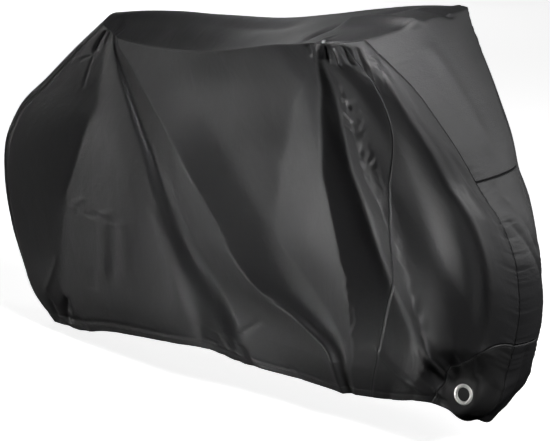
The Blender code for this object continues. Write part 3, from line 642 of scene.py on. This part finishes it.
def spline(rows, share):
    # smooth curve through rows of a share and the values there
    knot = np.array([row[0] for row in rows], float)
    value = np.array([row[1:] for row in rows], float)
    step = np.diff(knot)
    slope = np.diff(value, axis=0) / step[:, None]
    tangent = np.empty_like(value)
    tangent[0], tangent[-1] = slope[0], slope[-1]
    before, after = step[:-1, None], step[1:, None]
    tangent[1:-1] = (slope[:-1] * after + slope[1:] * before) / (after + before)
    share = np.clip(np.asarray(share, float), knot[0], knot[-1])
    index = np.clip(np.searchsorted(knot, share, side="right") - 1, 0, len(knot) - 2)
    length = (knot[index + 1] - knot[index])[..., None]
    s = (share - knot[index])[..., None] / length
    return (
        (2 * s**3 - 3 * s**2 + 1) * value[index]
        + (s**3 - 2 * s**2 + s) * length * tangent[index]
        + (3 * s**2 - 2 * s**3) * value[index + 1]
        + (s**3 - s**2) * length * tangent[index + 1]
    )


def smooth(x):
    x = np.clip(x, 0.0, 1.0)
    return x * x * (3 - 2 * x)


def unit(vectors):
    return vectors / np.linalg.norm(vectors, axis=-1, keepdims=True)


def panelEdges(hand):
    # hand is -1 for the right panel and 1 for the left one, which mirrors it
    def edge(rows, shift=None):
        def read(share):
            point = spline(rows, share)
            if hand > 0:
                point = point * np.array([1.0, -1.0, 1.0])
                if shift:
                    point[..., [0, 2]] += spline(shift, share)
            return point

        return read

    return (
        edge(topEdge, leftTopShift),
        edge(hemEdge, leftHemShift),
        edge(rearEdge),
        edge(frontEdge, leftFrontShift),
    )


def hangPanel(hand, u, v):
    # a side panel stretched smoothly between its four edges
    topRead, hemRead, rearRead, frontRead = panelEdges(hand)
    top, hem, rear, front = topRead(u), hemRead(u), rearRead(v), frontRead(v)
    ends = np.array([0.0, 1.0])
    topRear, topFront = topRead(ends)
    hemRear, hemFront = hemRead(ends)
    u, v = u[..., None], v[..., None]
    return (
        (1 - v) * top + v * hem + (1 - u) * rear + u * front
        - (1 - u) * (1 - v) * topRear - u * (1 - v) * topFront
        - (1 - u) * v * hemRear - u * v * hemFront
    )


def foldHeight(along, down, drift):
    total = np.zeros(along.shape)
    for number, row in enumerate(smallFolds):
        *values, edge = row
        u0, v0, u1, v1, bow, width0, width1, height = (value / 1000 for value in values)
        u0, u1 = u0 + drift * math.sin(number), u1 + drift * math.cos(2 * number)
        start = np.array([u0 * shell["length"], v0 * shell["drop"]])
        end = np.array([u1 * shell["length"], v1 * shell["drop"]])
        run = np.linalg.norm(end - start)
        way = (end - start) / run
        s = ((along - start[0]) * way[0] + (down - start[1]) * way[1]) / run
        inside = np.clip(s, 0.0, 1.0)
        off = (along - start[0]) * way[1] - (down - start[1]) * way[0]
        off = off - bow * 4 * inside * (1 - inside)
        width = width0 + (width1 - width0) * inside
        beyond = np.maximum(np.abs(s - 0.5) - 0.5, 0.0) * run
        fade = smooth((1 - s) / creaseEnds["tail"])
        fade = fade * smooth(creaseEnds["riseFrom"] + s / creaseEnds["rise"])
        fade = fade * (width / width1) ** creaseEnds["narrowing"]
        fade = fade * np.exp(-((beyond / creaseEnds["past"]) ** 2))
        total += height * fade * np.exp(-np.abs(off / width) ** edge)
    return total


def readDrops(values, v):
    # values given at the shares of foldDrops, read at the shares down v
    return spline(list(zip(foldDrops, values)), v)[..., 0]


def foldPlaces(v, drift):
    # share along of every fold line at the shares down v
    places = [np.zeros(v.shape)]
    for number, (_, shares, _) in enumerate(foldLines):
        place = readDrops([share / 1000 for share in shares], v)
        place = place + drift * math.sin(2.3 * number) * np.sin(math.pi * v)
        places.append(np.maximum(place, places[-1] + foldGap))
    places.append(np.maximum(1.0, places[-1] + foldGap))
    return places


def facetHeight(u, v, places, drift):
    # flat facets between the fold lines, each line bent as softly as its row says; drift
    # moves the lines about, which makes the second side differ from the first
    heights = [readDrops(rearEdgeRises, v) / 1000]
    for number, (_, _, rises) in enumerate(foldLines):
        stray = 1 + shell["leftRise"] * drift * math.sin(1.7 * number)
        heights.append(readDrops(rises, v) / 1000 * stray)
    heights.append(np.zeros(u.shape))
    ends = zip(heights, heights[1:], places, places[1:])
    slopes = [(h1 - h0) / (p1 - p0) for h0, h1, p0, p1 in ends]
    total = heights[0] + slopes[0] * u
    for n in range(1, len(slopes)):
        off = u - places[n]
        bend = (off + np.sqrt(off**2 + (foldLines[n - 1][0] / 1000) ** 2)) / 2
        total += (slopes[n] - slopes[n - 1]) * bend
    return total


def zigzag(x):
    # a wave of straight slopes between -1 and 1
    return np.abs(((x + 0.25) % 1.0) * 4 - 2) - 1


def between(share, start, end, fade):
    # 1 between two shares, and fading to 0 just inside them
    return smooth((share - start) / fade) * smooth((end - share) / fade)


def crumpleHeight(along, down, places):
    # small flat facets that meet in sharp creases, along the crumpled fold lines: three
    # zigzags across one another, bent by sines so that no two facets are alike
    total = np.zeros(along.shape)
    for number, start, end, width, size, depth in crumpledLines:
        share = down / shell["drop"]
        off = along - places[number] * shell["length"]
        mask = np.exp(-((off / width) ** 2)) * between(share, start, end, shell["crumpleFade"])
        x, y = off / size, down / size
        wave = zigzag(0.9 * x + 0.55 * y + 0.3 * np.sin(2.1 * y + number))
        wave = wave + 0.7 * zigzag(0.8 * x - 0.62 * y + 0.35 * np.sin(1.3 * y) + 0.4 * number)
        wave = wave + 0.5 * zigzag(0.2 * x + 1.15 * y + 0.5 * np.sin(2.6 * x))
        total += depth * mask * wave / 2
    return total


def puckerHeight(along, down):
    # round puckers with sharp valleys, whose spacing and depth wander along the seam
    total = np.zeros(along.shape)
    u, v = along / shell["length"], down / shell["drop"]
    fromHem = shell["drop"] - down
    offs = {"front": shell["length"] - along, "rear": along, "top": down, "hem": fromHem}
    for edge, start, end, spacing, depth, reach in puckers:
        share, run = (v, down) if edge in ("front", "rear") else (u, along)
        off = offs[edge]
        sway = puckerShape["sway"] * np.sin(run / spacing * puckerShape["swayRate"])
        turns = run / spacing + sway + off * puckerShape["lean"]
        wave = np.abs(np.sin(math.pi * turns)) - puckerShape["level"]
        wander = np.sin(run * 23.0 + 1.3 * np.sin(run * 41.0))
        uneven = 1 - puckerShape["uneven"] + puckerShape["uneven"] * wander
        fade = between(share, start, end, shell["puckerFade"]) * np.exp(-((off / reach) ** 2))
        total += depth * wave * fade * uneven
    # the row of stitches that closes the channel of the elastic
    pulled = np.exp(-(((fromHem - shell["channel"]) / shell["channelGroove"]) ** 2))
    return total - shell["channelDepth"] * pulled


def gatherHeight(along, down):
    # valleys that the elastic pulls in, deepest at the hem
    total = np.zeros(along.shape)
    for u, width, depth, length in hemGathers:
        rise = smooth(1 - (shell["drop"] - down) / length)
        off = np.abs((along - u * shell["length"]) / width)
        total -= depth * rise * np.exp(-(off ** shell["gatherPower"]))
    return total


def stripHeight(run, across, halfWidth):
    total = np.zeros(run.shape)
    y = across * halfWidth
    for t0, w0, t1, w1, width, height, edge in stripFolds:
        s = (run - t0) / (t1 - t0)
        inside = np.clip(s, 0.0, 1.0)
        middle = (w0 + (w1 - w0) * inside) * halfWidth
        off = (y - middle) / math.hypot(1.0, (w1 - w0) * shell["meanHalfStrip"] / (t1 - t0))
        fade = between(s, 0.0, 1.0, shell["stripFade"])
        total += height * fade * np.exp(-np.abs(off / width) ** edge)
    return total


def columnCount(line):
    return sum(row[0] for row in columnLines[: line + 1])


def panelGrid():
    # shares along and down at each point of a side panel
    knots = [columnCount(line) for line in range(len(columnLines))]
    columns = knots[-1]
    upper = np.linspace(0.0, shell["patchTop"], shell["upperRows"] + 1)
    lower = np.linspace(shell["patchTop"], 1.0, shell["lowerRows"] + 1)
    column, row = np.meshgrid(
        np.arange(columns + 1.0), np.concatenate([upper, lower[1:]]), indexing="ij"
    )
    corner = smooth((columns - column) / columnLines[-1][0])
    top = shell["patchTop"] + (shell["patchTopRear"] - shell["patchTop"]) * corner
    v = np.where(
        row <= shell["patchTop"],
        row / shell["patchTop"] * top,
        1 - (1 - row) / (1 - shell["patchTop"]) * (1 - top),
    )
    drops = np.linspace(0.0, 1.0, len(columnLines[0]) - 1)
    lines = [spline(list(zip(drops, line[1:])), v)[..., 0] for line in columnLines]
    u = np.empty(v.shape)
    for i in range(columns + 1):
        before = max(n for n, knot in enumerate(knots[:-1]) if knot <= i)
        share = (i - knots[before]) / (knots[before + 1] - knots[before])
        u[i] = lines[before][i] * (1 - share) + lines[before + 1][i] * share
    return u, v


def faceUp(points):
    # normals of a grid whose first direction crossed with its second points out of the cloth
    return unit(np.cross(np.gradient(points, axis=0), np.gradient(points, axis=1)))


def perimeter(grid):
    # a side panel's values from the rear hem over the top to the nose
    return np.concatenate([grid[0, ::-1], grid[1:, 0], grid[-1, 1:]])


def setPerimeter(grid, values):
    columns, rows = grid.shape[:2]
    grid[0, ::-1] = values[:rows]
    grid[1:, 0] = values[rows : rows + columns - 1]
    grid[-1, 1:] = values[rows + columns - 1 :]


def sewStrip(u, v, panels):
    # the centre strip's smooth surface, between the perimeters of the two panels
    across = np.linspace(-1.0, 1.0, shell["stripCells"] + 1)
    shares = np.concatenate([v[0, ::-1], u[1:, 0], v[-1, 1:]])
    columns, rows = u.shape
    runs = np.concatenate([1 - v[0, ::-1], 1 + u[1:, 0], 2 + v[-1, 1:]])
    kinds = ["rear"] * rows + ["top"] * (columns - 1) + ["front"] * (rows - 1)
    crests = {"rear": rearCrest, "top": topCrest, "front": frontCrest}
    right, left = perimeter(panels[-1]), perimeter(panels[1])
    points = np.empty((len(kinds), len(across), 3))
    for n, kind in enumerate(kinds):
        x, z = spline(crests[kind], shares[n])
        middle = (right[n] + left[n]) / 2
        lift = np.array([x, middle[1], z]) - middle
        line = right[n] + (left[n] - right[n]) * ((across + 1) / 2)[:, None]
        points[n] = line + lift * (1 - np.abs(across) ** crown[kind])[:, None]
    return points, runs, across


lockCorner = {
    "at": (0.968, 0.953),  # place of the eyelet, as shares along and down
    "near": 0.045,  # cloth whose mean direction is turned to the ring's
    "turnCore": 0.020,  # cloth that turns with it in full
    "turnReach": 0.125,
    "flatRadius": 0.034,  # cloth pressed flat round the eyelet
    "flatReach": 0.070,
}


def eyeletFrame(hand):
    # middle of the ring in the frame and the way it faces: its thinnest direction, outwards
    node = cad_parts["eyelet_right" if hand < 0 else "eyelet_left"]
    points = np.array([vert.co for vert in node.data.vertices], float)
    middle = points.mean(axis=0)
    axis = np.linalg.eigh(np.cov((points - middle).T))[1][:, 0]
    axis = axis * (1.0 if axis[1] * hand > 0 else -1.0)
    return middle, axis


def halfWidths(strip):
    # half the width of the centre strip at each of its rows
    return np.linalg.norm(strip[:, 0] - strip[:, -1], axis=1)[:, None] / 2


def drapeShell():
    u, v = panelGrid()
    along, down = u * shell["length"], v * shell["drop"]
    panels = {hand: hangPanel(hand, u, v) for hand in (-1, 1)}
    strip, runs, across = sewStrip(u, v, panels)
    lifts = {}
    for hand, drift in ((-1, 0.0), (1, shell["leftDrift"])):
        places = foldPlaces(v, drift)
        lift = facetHeight(u, v, places, drift) + crumpleHeight(along, down, places)
        lift += foldHeight(along, down, drift) + puckerHeight(along, down)
        lifts[hand] = lift + gatherHeight(along, down)
    halfWidth = halfWidths(strip)
    runGrid, acrossGrid = np.broadcast_arrays(runs[:, None], across[None, :])
    stripLift = stripHeight(runGrid, acrossGrid, halfWidth)
    for hand in (-1, 1):
        reach = (1 - hand * acrossGrid) * halfWidth
        share = np.where(acrossGrid * hand >= 0, np.exp(-((reach / shell["seamReach"]) ** 2)), 0.0)
        stripLift = stripLift + perimeter(lifts[hand])[:, None] * share

    normals = {-1: -faceUp(panels[-1]), 1: faceUp(panels[1])}
    stripNormals = faceUp(strip)
    for hand, column in ((-1, 0), (1, -1)):
        shared = unit(perimeter(normals[hand]) + stripNormals[:, column])
        stripNormals[:, column] = shared
        setPerimeter(normals[hand], shared)
        stripLift[:, column] = perimeter(lifts[hand])
    origin = np.array(shell["saddlePoint"])
    for hand in (-1, 1):
        panels[hand] = panels[hand] + normals[hand] * lifts[hand][..., None] - origin
    strip = strip + stripNormals * stripLift[..., None] - origin
    for hand in (-1, 1):
        panels[hand], strip = turnCorner(hand, panels[hand], strip)
        setPerimeter(panels[hand], strip[:, 0 if hand < 0 else -1])
    return u, v, panels, strip, runs, across


def turnCorner(hand, panel, strip):
    # turns the cloth round an eyelet to face as its ring does, and presses it flat there
    middle, axis = eyeletFrame(hand)
    place = hangPanel(hand, np.array([lockCorner["at"][0]]), np.array([lockCorner["at"][1]]))[0]
    centre = place - np.array(shell["saddlePoint"])
    near = np.linalg.norm(panel - centre, axis=-1) < lockCorner["near"]
    normal = unit((faceUp(panel) * hand)[near].mean(axis=0))
    turn = Vector(normal).rotation_difference(Vector(axis))
    spin = np.array(turn.axis)

    def nearness(points, point, side, core, reach):
        radius = np.linalg.norm(points - point, axis=-1)
        return np.where(side, 1 - smooth((radius - core) / (reach - core)), 0.0)

    out = []
    for points in (panel, strip):
        side = points[..., 1] * hand > 0
        share = nearness(points, centre, side, lockCorner["turnCore"], lockCorner["turnReach"])
        angle = (turn.angle * share)[..., None]
        rel = points - centre
        cos, sin = np.cos(angle), np.sin(angle)
        axial = spin * (rel @ spin)[..., None] * (1 - cos)
        points = centre + rel * cos + np.cross(spin, rel) * sin + axial
        share = nearness(points, middle, side, lockCorner["flatRadius"], lockCorner["flatReach"])
        rise = (points - middle) @ axis - shell["sheet"] / 2
        out.append(points - axis * (rise * share)[..., None])
    return out


u, v, panels, strip, runs, across = drapeShell()
print("shell draped")


def layPanel(name, points, flat, seam, material, notch=None, hole=None):
    # a flat grid of cloth whose every point goes to its place; the first direction of the
    # grid crossed with the second points out of the cloth; cells from the notch's column
    # and row on are left out; hole is a centre, the way it faces and a radius
    columns, rows = points.shape[0] - 1, points.shape[1] - 1
    cut = bmesh.new()
    bmesh.ops.create_grid(cut, x_segments=columns, y_segments=rows, size=0.5)
    index = np.array([vert.co[:2] for vert in cut.verts])
    i = np.rint((index[:, 0] + 0.5) * columns).astype(int)
    j = np.rint((index[:, 1] + 0.5) * rows).astype(int)
    order = cut.verts.layers.int.new("order")
    for number, (vert, place) in enumerate(zip(cut.verts, points[i, j].tolist())):
        vert.co = place
        vert[order] = number
    drop = []
    if notch is not None:
        left = (i >= notch[0]) & (j >= notch[1])
        drop = [face for face in cut.faces if all(left[vert.index] for vert in face.verts)]
    if hole is not None:
        drop = punchHole(cut, points[i, j], *hole)
    bmesh.ops.delete(cut, geom=drop, context="FACES")
    kept = np.array([vert[order] for vert in cut.verts])
    i, j = i[kept], j[kept]
    mesh = takeMesh(cut, name, material)
    corner = np.empty(len(mesh.loops), int)
    mesh.loops.foreach_get("vertex_index", corner)
    layer = mesh.uv_layers.new(name="flat")
    layer.data.foreach_set("uv", flat[i, j][corner].astype(np.float32).ravel())
    edge = mesh.attributes.new("seam", "FLOAT", "POINT")
    edge.data.foreach_set("value", seam[i, j].astype(np.float32))
    mesh.shade_smooth()
    panel = placeObject(name, mesh)
    thick = panel.modifiers.new("thickness", "SOLIDIFY")
    thick.thickness = shell["sheet"]
    thick.offset = -1.0
    return panel


def punchHole(cut, places, centre, axis, radius):
    # the faces inside a round hole, whose rim is slid to the circle first
    away = places - centre
    away = away - axis * (away @ axis)[:, None]
    reach = np.linalg.norm(away, axis=1)
    inside = reach < radius
    drop = [face for face in cut.faces if any(inside[vert.index] for vert in face.verts)]
    for vert in {vert for face in drop for vert in face.verts if not inside[vert.index]}:
        n = vert.index
        vert.co = Vector(places[n] - away[n] / reach[n] * (reach[n] - radius))
    return drop


def cutPanels():
    frontColumn, patchColumn = columnCount(frontPanelLine), columnCount(patchLine)
    patchRow = shell["upperRows"]
    columns, rows = u.shape[0] - 1, u.shape[1] - 1
    whole, notched = slice(None), (patchColumn - frontColumn, patchRow)
    parts = (
        ("side_main_", slice(0, frontColumn + 1), whole, taffeta, None),
        ("side_front_", slice(frontColumn, None), whole, taffeta, notched),
        ("lock_patch_", slice(patchColumn, None), slice(patchRow, None), patchCloth, None),
    )
    pieces = []
    for hand, side in ((-1, "right"), (1, "left")):
        flat = np.stack([u * shell["length"], v * shell["drop"]], axis=-1)
        for kind, alongPart, downPart, material, notch in parts:
            grid, cloth = panels[hand][alongPart, downPart], flat[alongPart, downPart]
            seam = borderDistance(grid, notch)
            if hand < 0:
                # the right panel's faces point out once its two directions are exchanged
                grid, cloth, seam = (x.swapaxes(0, 1) for x in (grid, cloth, seam))
                notch = notch and notch[::-1]
            hole = (*eyeletFrame(hand), shell["eyeletHole"]) if material == patchCloth else None
            piece = layPanel(kind + side + "_cloth", grid, cloth, seam, material, notch, hole)
            pieces.append((kind + side, piece))
    middle = strip[:, strip.shape[1] // 2]
    steps = np.linalg.norm(np.diff(middle, axis=0), axis=1)
    length = np.concatenate([[0.0], np.cumsum(steps)])
    flat = np.stack(np.broadcast_arrays(length[:, None], across * halfWidths(strip)), axis=-1)
    ends = (0, rows, rows + columns + shell["crossSeamRow"], rows + columns + patchRow, None)
    names = ("rear_strip", "top_strip", "front_strip", "nose_panel")
    for name, start, end in zip(names, ends, ends[1:]):
        part = slice(start, end and end + 1)
        seam = borderDistance(strip[part])
        pieces.append((name, layPanel(name + "_cloth", strip[part], flat[part], seam, taffeta)))
    return pieces


def borderDistance(grid, notch=None):
    # distance over the cloth from each point to the nearest sewn border
    alongStep = np.linalg.norm(np.diff(grid, axis=0), axis=-1)
    downStep = np.linalg.norm(np.diff(grid, axis=1), axis=-1)
    fromStart = np.pad(np.cumsum(alongStep, axis=0), ((1, 0), (0, 0)))
    fromTop = np.pad(np.cumsum(downStep, axis=1), ((0, 0), (1, 0)))
    reach = np.minimum(fromStart, fromStart[-1:] - fromStart)
    reach = np.minimum(reach, np.minimum(fromTop, fromTop[:, -1:] - fromTop))
    if notch is not None:
        column, row = notch
        toSide = np.abs(fromStart - fromStart[column : column + 1])
        toTop = np.abs(fromTop - fromTop[:, row : row + 1])
        below = np.arange(grid.shape[1])[None, :] >= row
        ahead = np.arange(grid.shape[0])[:, None] >= column
        reach = np.where(below, np.minimum(reach, toSide), reach)
        reach = np.where(ahead, np.minimum(reach, toTop), reach)
    return reach


clothPieces = cutPanels()
print("panels cut:", len(clothPieces))

# each cloth piece takes the place of the model's part of the same name, held on the root body
for name, piece in clothPieces:
    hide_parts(name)
    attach(piece, "root")

stitch = {
    "inset": 0.005,  # from the seam
    "patchRows": (0.004, 0.009),
    "spacing": 0.0042,
    "half": (0.0015, 0.0004, 0.0003),
    "look": 0.001,  # how far ahead its direction is read
}


def insetLine(points, off):
    # the line that lies off metres in from the first row of a grid
    walked = np.cumsum(np.linalg.norm(np.diff(points, axis=0), axis=-1), axis=0)
    out = np.empty((points.shape[1], 3))
    for j in range(points.shape[1]):
        i = int(np.searchsorted(walked[:, j], off))
        before = walked[i - 1, j] if i else 0.0
        share = (off - before) / (walked[i, j] - before)
        out[j] = points[i, j] * (1 - share) + points[i + 1, j] * share
    return out


def sewRow(grid, normal, off):
    # centres, directions and upward directions of a row of stitches along a grid's first row
    line = insetLine(grid, off)
    walked = np.concatenate([[0.0], np.cumsum(np.linalg.norm(np.diff(line, axis=0), axis=1))])
    at = np.arange(stitch["spacing"], walked[-1] - stitch["spacing"], stitch["spacing"])

    def read(values, where):
        return np.stack([np.interp(where, walked, values[:, k]) for k in range(3)], axis=1)

    centre = read(line, at)
    return centre, unit(read(line, at + stitch["look"]) - centre), unit(read(unit(normal[0]), at))


def sewSeams():
    frontColumn, patchColumn = columnCount(frontPanelLine), columnCount(patchLine)
    patchRow, inset = shell["upperRows"], stitch["inset"]
    columns, rows = u.shape
    runs = []

    def sew(grid, up, part, off):
        runs.append(sewRow(grid[part], up[part], off))

    for hand in (-1, 1):
        panel, up = panels[hand], faceUp(panels[hand]) * hand
        flip, turned = panel.swapaxes(0, 1), up.swapaxes(0, 1)
        sew(panel, up, np.s_[:], inset)
        sew(panel, up, np.s_[::-1, :patchRow], inset)
        sew(flip, turned, np.s_[:], inset)
        sew(flip, turned, np.s_[::-1, : frontColumn + 1], shell["channel"])
        sew(panel, up, np.s_[frontColumn::-1], inset)
        for off in stitch["patchRows"]:
            sew(panel, up, np.s_[patchColumn:, patchRow:], off)
            sew(flip, turned, np.s_[patchRow:, patchColumn:], off)
    up = faceUp(strip)
    topRow = rows - 1
    frontRow = topRow + columns - 1
    for row in (topRow, frontRow + shell["crossSeamRow"], frontRow + patchRow):
        sew(strip, up, np.s_[row:], inset)
        sew(strip, up, np.s_[row::-1], inset)
    sew(strip, up, np.s_[:], shell["channel"])
    centre, ahead, lifted = (np.concatenate(part) for part in zip(*runs))
    bead = bmesh.new()
    bmesh.ops.create_icosphere(bead, subdivisions=1, radius=1.0)
    shape = np.array([vert.co for vert in bead.verts]) * stitch["half"]
    faces = np.array([[vert.index for vert in face.verts] for face in bead.faces])
    bead.free()
    side = np.cross(lifted, ahead)
    axes = np.stack([ahead, unit(side), lifted], axis=1)
    points = centre[:, None, :] + shape @ axes
    copies = (faces[None] + np.arange(len(centre))[:, None, None] * len(shape)).reshape(-1, 3)
    mesh = bpy.data.meshes.new("seam_stitches")
    mesh.from_pydata(points.reshape(-1, 3).tolist(), [], copies.tolist())
    mesh.materials.append(thread)
    mesh.shade_smooth()
    sewing = placeObject("seam_stitches", mesh)
    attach(sewing, "root")
    return len(centre)


print("stitches sewn:", sewSeams())

eyelet = {
    "outer": 0.025,  # radius of the flanges
    "hole": 0.0165,
    "flange": 0.0014,
    "gap": 0.0004,  # between the metal and the cloth
    "barrel": 0.0012,  # wall of the tube through the cloth
    "bevel": 0.0006,
    "lip": 0.0001,  # swell of the flange's underside, just inside its rim
    "weld": 0.00001,  # points nearer than this become one
    "facets": 8,  # of the round outer flange
    "steps": 96,
    "sharp": 40,  # degrees between faces from which an edge is sharp
}


def spinEyelet(hand):
    # a section of radii and heights, spun round: a half-round outer flange, the tube
    # through the cloth and a flat inner flange
    middle, axis = eyeletFrame(hand)
    face = shell["sheet"] / 2 + eyelet["gap"]
    rim, hole, bevel, tube = (eyelet[key] for key in ("outer", "hole", "bevel", "barrel"))
    half, back = (rim - hole) / 2, -face - eyelet["flange"]
    ring = bmesh.new()
    profile = []
    for n in range(eyelet["facets"] + 1):
        angle = math.pi * (1 - n / eyelet["facets"])
        rise = eyelet["flange"] * math.sin(angle)
        profile.append((hole + half + half * math.cos(angle), face + rise))
    profile += [(rim - bevel, face - eyelet["lip"]), (hole + tube, face), (hole + tube, -face)]
    profile += [(rim, -face), (rim, back), (hole + bevel, back), (hole, back + bevel)]
    verts = [ring.verts.new((r, 0.0, z)) for r, z in profile]
    edges = [ring.edges.new((a, b)) for a, b in zip(verts, verts[1:] + verts[:1])]
    bmesh.ops.spin(
        ring,
        geom=verts + edges,
        cent=(0, 0, 0),
        axis=(0, 0, 1),
        angle=math.tau,
        steps=eyelet["steps"],
        use_merge=True,
    )
    bmesh.ops.remove_doubles(ring, verts=ring.verts, dist=eyelet["weld"])
    bmesh.ops.recalc_face_normals(ring, faces=ring.faces)
    turn = Vector((0, 0, 1)).rotation_difference(Vector(axis)).to_matrix().to_4x4()
    bmesh.ops.transform(ring, matrix=Matrix.Translation(middle) @ turn, verts=ring.verts)
    name = "eyelet_right" if hand < 0 else "eyelet_left"
    mesh = takeMesh(ring, name, nickel)
    mesh.shade_smooth()
    mesh.set_sharp_from_angle(angle=math.radians(eyelet["sharp"]))
    grommet = placeObject(name + "_ring", mesh)
    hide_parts(name)
    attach(grommet, "root")


for hand in (-1, 1):
    spinEyelet(hand)
print("eyelets set")

studio = {
    "floor": -0.986,  # height, with the saddle at 0
    "floorRadius": 14.0,
    "floorColour": "#f6f6f6",
    "floorRoughness": 0.9,
    "floorGlow": 0.92,
    "surround": "#ffffff",
    "shade": (0.967, 0.23),  # small shadow that is seen through the eyelet
    "shadeColour": "#0a0a0a",
    "shadeTurn": 115.4,  # degrees, in line with the view through the eyelet
    "shadeSize": (0.083, 0.035, 0.5),
    "shadeEdge": 0.25,  # share of it over which it fades out
    # name, place, point it faces, width and height, degrees of spread, watts
    "lights": (
        ("keyLeft", (-10.6, -7.6, 0.3), (0.5, -0.2, -0.4), (4.6, 3.6), 180, 120),
        ("keyFarLeft", (-10.6, -4.5, 0.3), (1.1, -0.2, -0.35), (1.6, 3.4), 8, 3.2),
        ("lowKicker", (-0.1, -1.2, -0.93), (1.05, -0.25, -0.3), (0.5, 0.3), 44, 0.45),
        ("lowLeft", (-0.64, -0.74, -0.93), (0.85, -0.2, -0.2), (0.5, 0.3), 44, 0.12),
        ("hemSpot", (-2.55, -5.5, -0.95), (0.45, -0.3, -0.85), (0.5, 0.5), 7, 0.55),
        ("rollSpot", (-3.89, -3.69, -0.61), (1.02, -0.25, -0.3), (0.5, 0.8), 6, 0.75),
        ("gripSpot", (-3.69, -2.68, -0.8), (0.6, -0.2, -0.1), (0.5, 0.5), 7, 0.16),
        ("topSpot", (4.17, -2.15, 2.85), (0.62, -0.1, -0.02), (0.5, 0.5), 6, 1.5),
        ("frontRight", (4.6, 1.2, 1.4), (0.9, 0, -0.25), (1.8, 2.0), 180, 45),
        ("frontHigh", (4.7, -1.1, 2.9), (1.0, -0.1, -0.3), (1.5, 1.5), 60, 26),
        ("behind", (-1.6, 3.0, 2.6), (0.4, 0, 0), (2.4, 1.2), 180, 11),
        ("leftSide", (-7.6, 7.0, 0.8), (0.4, 0.2, -0.4), (4.6, 3.6), 180, 110),
        ("leftFront", (3.6, 4.6, 0.6), (0.6, 0.2, -0.4), (2.4, 2.4), 180, 30),
    ),
}


def softLight(name, place, target, size, spread, power):
    lamp = bpy.data.lights.new(name, "AREA")
    lamp.shape = "RECTANGLE"
    lamp.size, lamp.size_y = size
    lamp.spread = math.radians(spread)
    lamp.energy = power
    light = placeObject(name, lamp)
    light.location = place
    light.rotation_euler = (Vector(target) - Vector(place)).to_track_quat("-Z", "Y").to_euler()


def floorMaterial():
    # matt white paint that glows evenly, but for the shadow seen through the eyelet
    values = {"Roughness": studio["floorRoughness"], "Emission Strength": studio["floorGlow"]}
    paint, tree, shader = startMaterial("paintedFloor", values)
    place = addNode(tree, "TexCoord").outputs["Object"]
    middle = addNode(
        tree,
        "Mapping",
        {
            "vector_type": "TEXTURE",
            "Location": (*studio["shade"], studio["floor"]),
            "Rotation": (0, 0, math.radians(studio["shadeTurn"])),
            "Scale": studio["shadeSize"],
        },
        {"Vector": place},
    )
    near = addNode(tree, "TexGradient", {"gradient_type": "SPHERICAL"}, {0: middle})
    shadow = addNode(
        tree,
        "MapRange",
        {"interpolation_type": "SMOOTHSTEP", 1: 0.0, 2: studio["shadeEdge"], 3: 0.0, 4: 1.0},
        {0: near.outputs["Fac"]},
    )
    colours = {6: linear(studio["floorColour"]), 7: linear(studio["shadeColour"])}
    tone = addNode(tree, "Mix", {"data_type": "RGBA"} | colours, {0: shadow})
    for name in ("Base Color", "Emission Color"):
        tree.links.new(tone.outputs[2], shader.inputs[name])
    return paint


def layFloor():
    ground = bmesh.new()
    bmesh.ops.create_circle(ground, cap_ends=True, segments=64, radius=studio["floorRadius"])
    bmesh.ops.translate(ground, vec=(0, 0, studio["floor"]), verts=ground.verts)
    floor = placeObject("studioFloor", takeMesh(ground, "studioFloor", floorMaterial()))
    floor.visible_glossy = False
    floor.visible_diffuse = False


def surroundWithWhite():
    # an even white surround that the dark cloth doesn't mirror, so its folds keep their depth
    world = bpy.data.worlds.new("studioWorld")
    world.use_nodes = True
    world.node_tree.nodes["Background"].inputs["Color"].default_value = linear(studio["surround"])
    world.cycles_visibility.glossy = False
    world.cycles_visibility.diffuse = False
    bpy.context.scene.world = world
    bpy.context.scene.view_settings.view_transform = "Standard"


layFloor()
surroundWithWhite()
for row in studio["lights"]:
    softLight(*row)
print("studio ready")
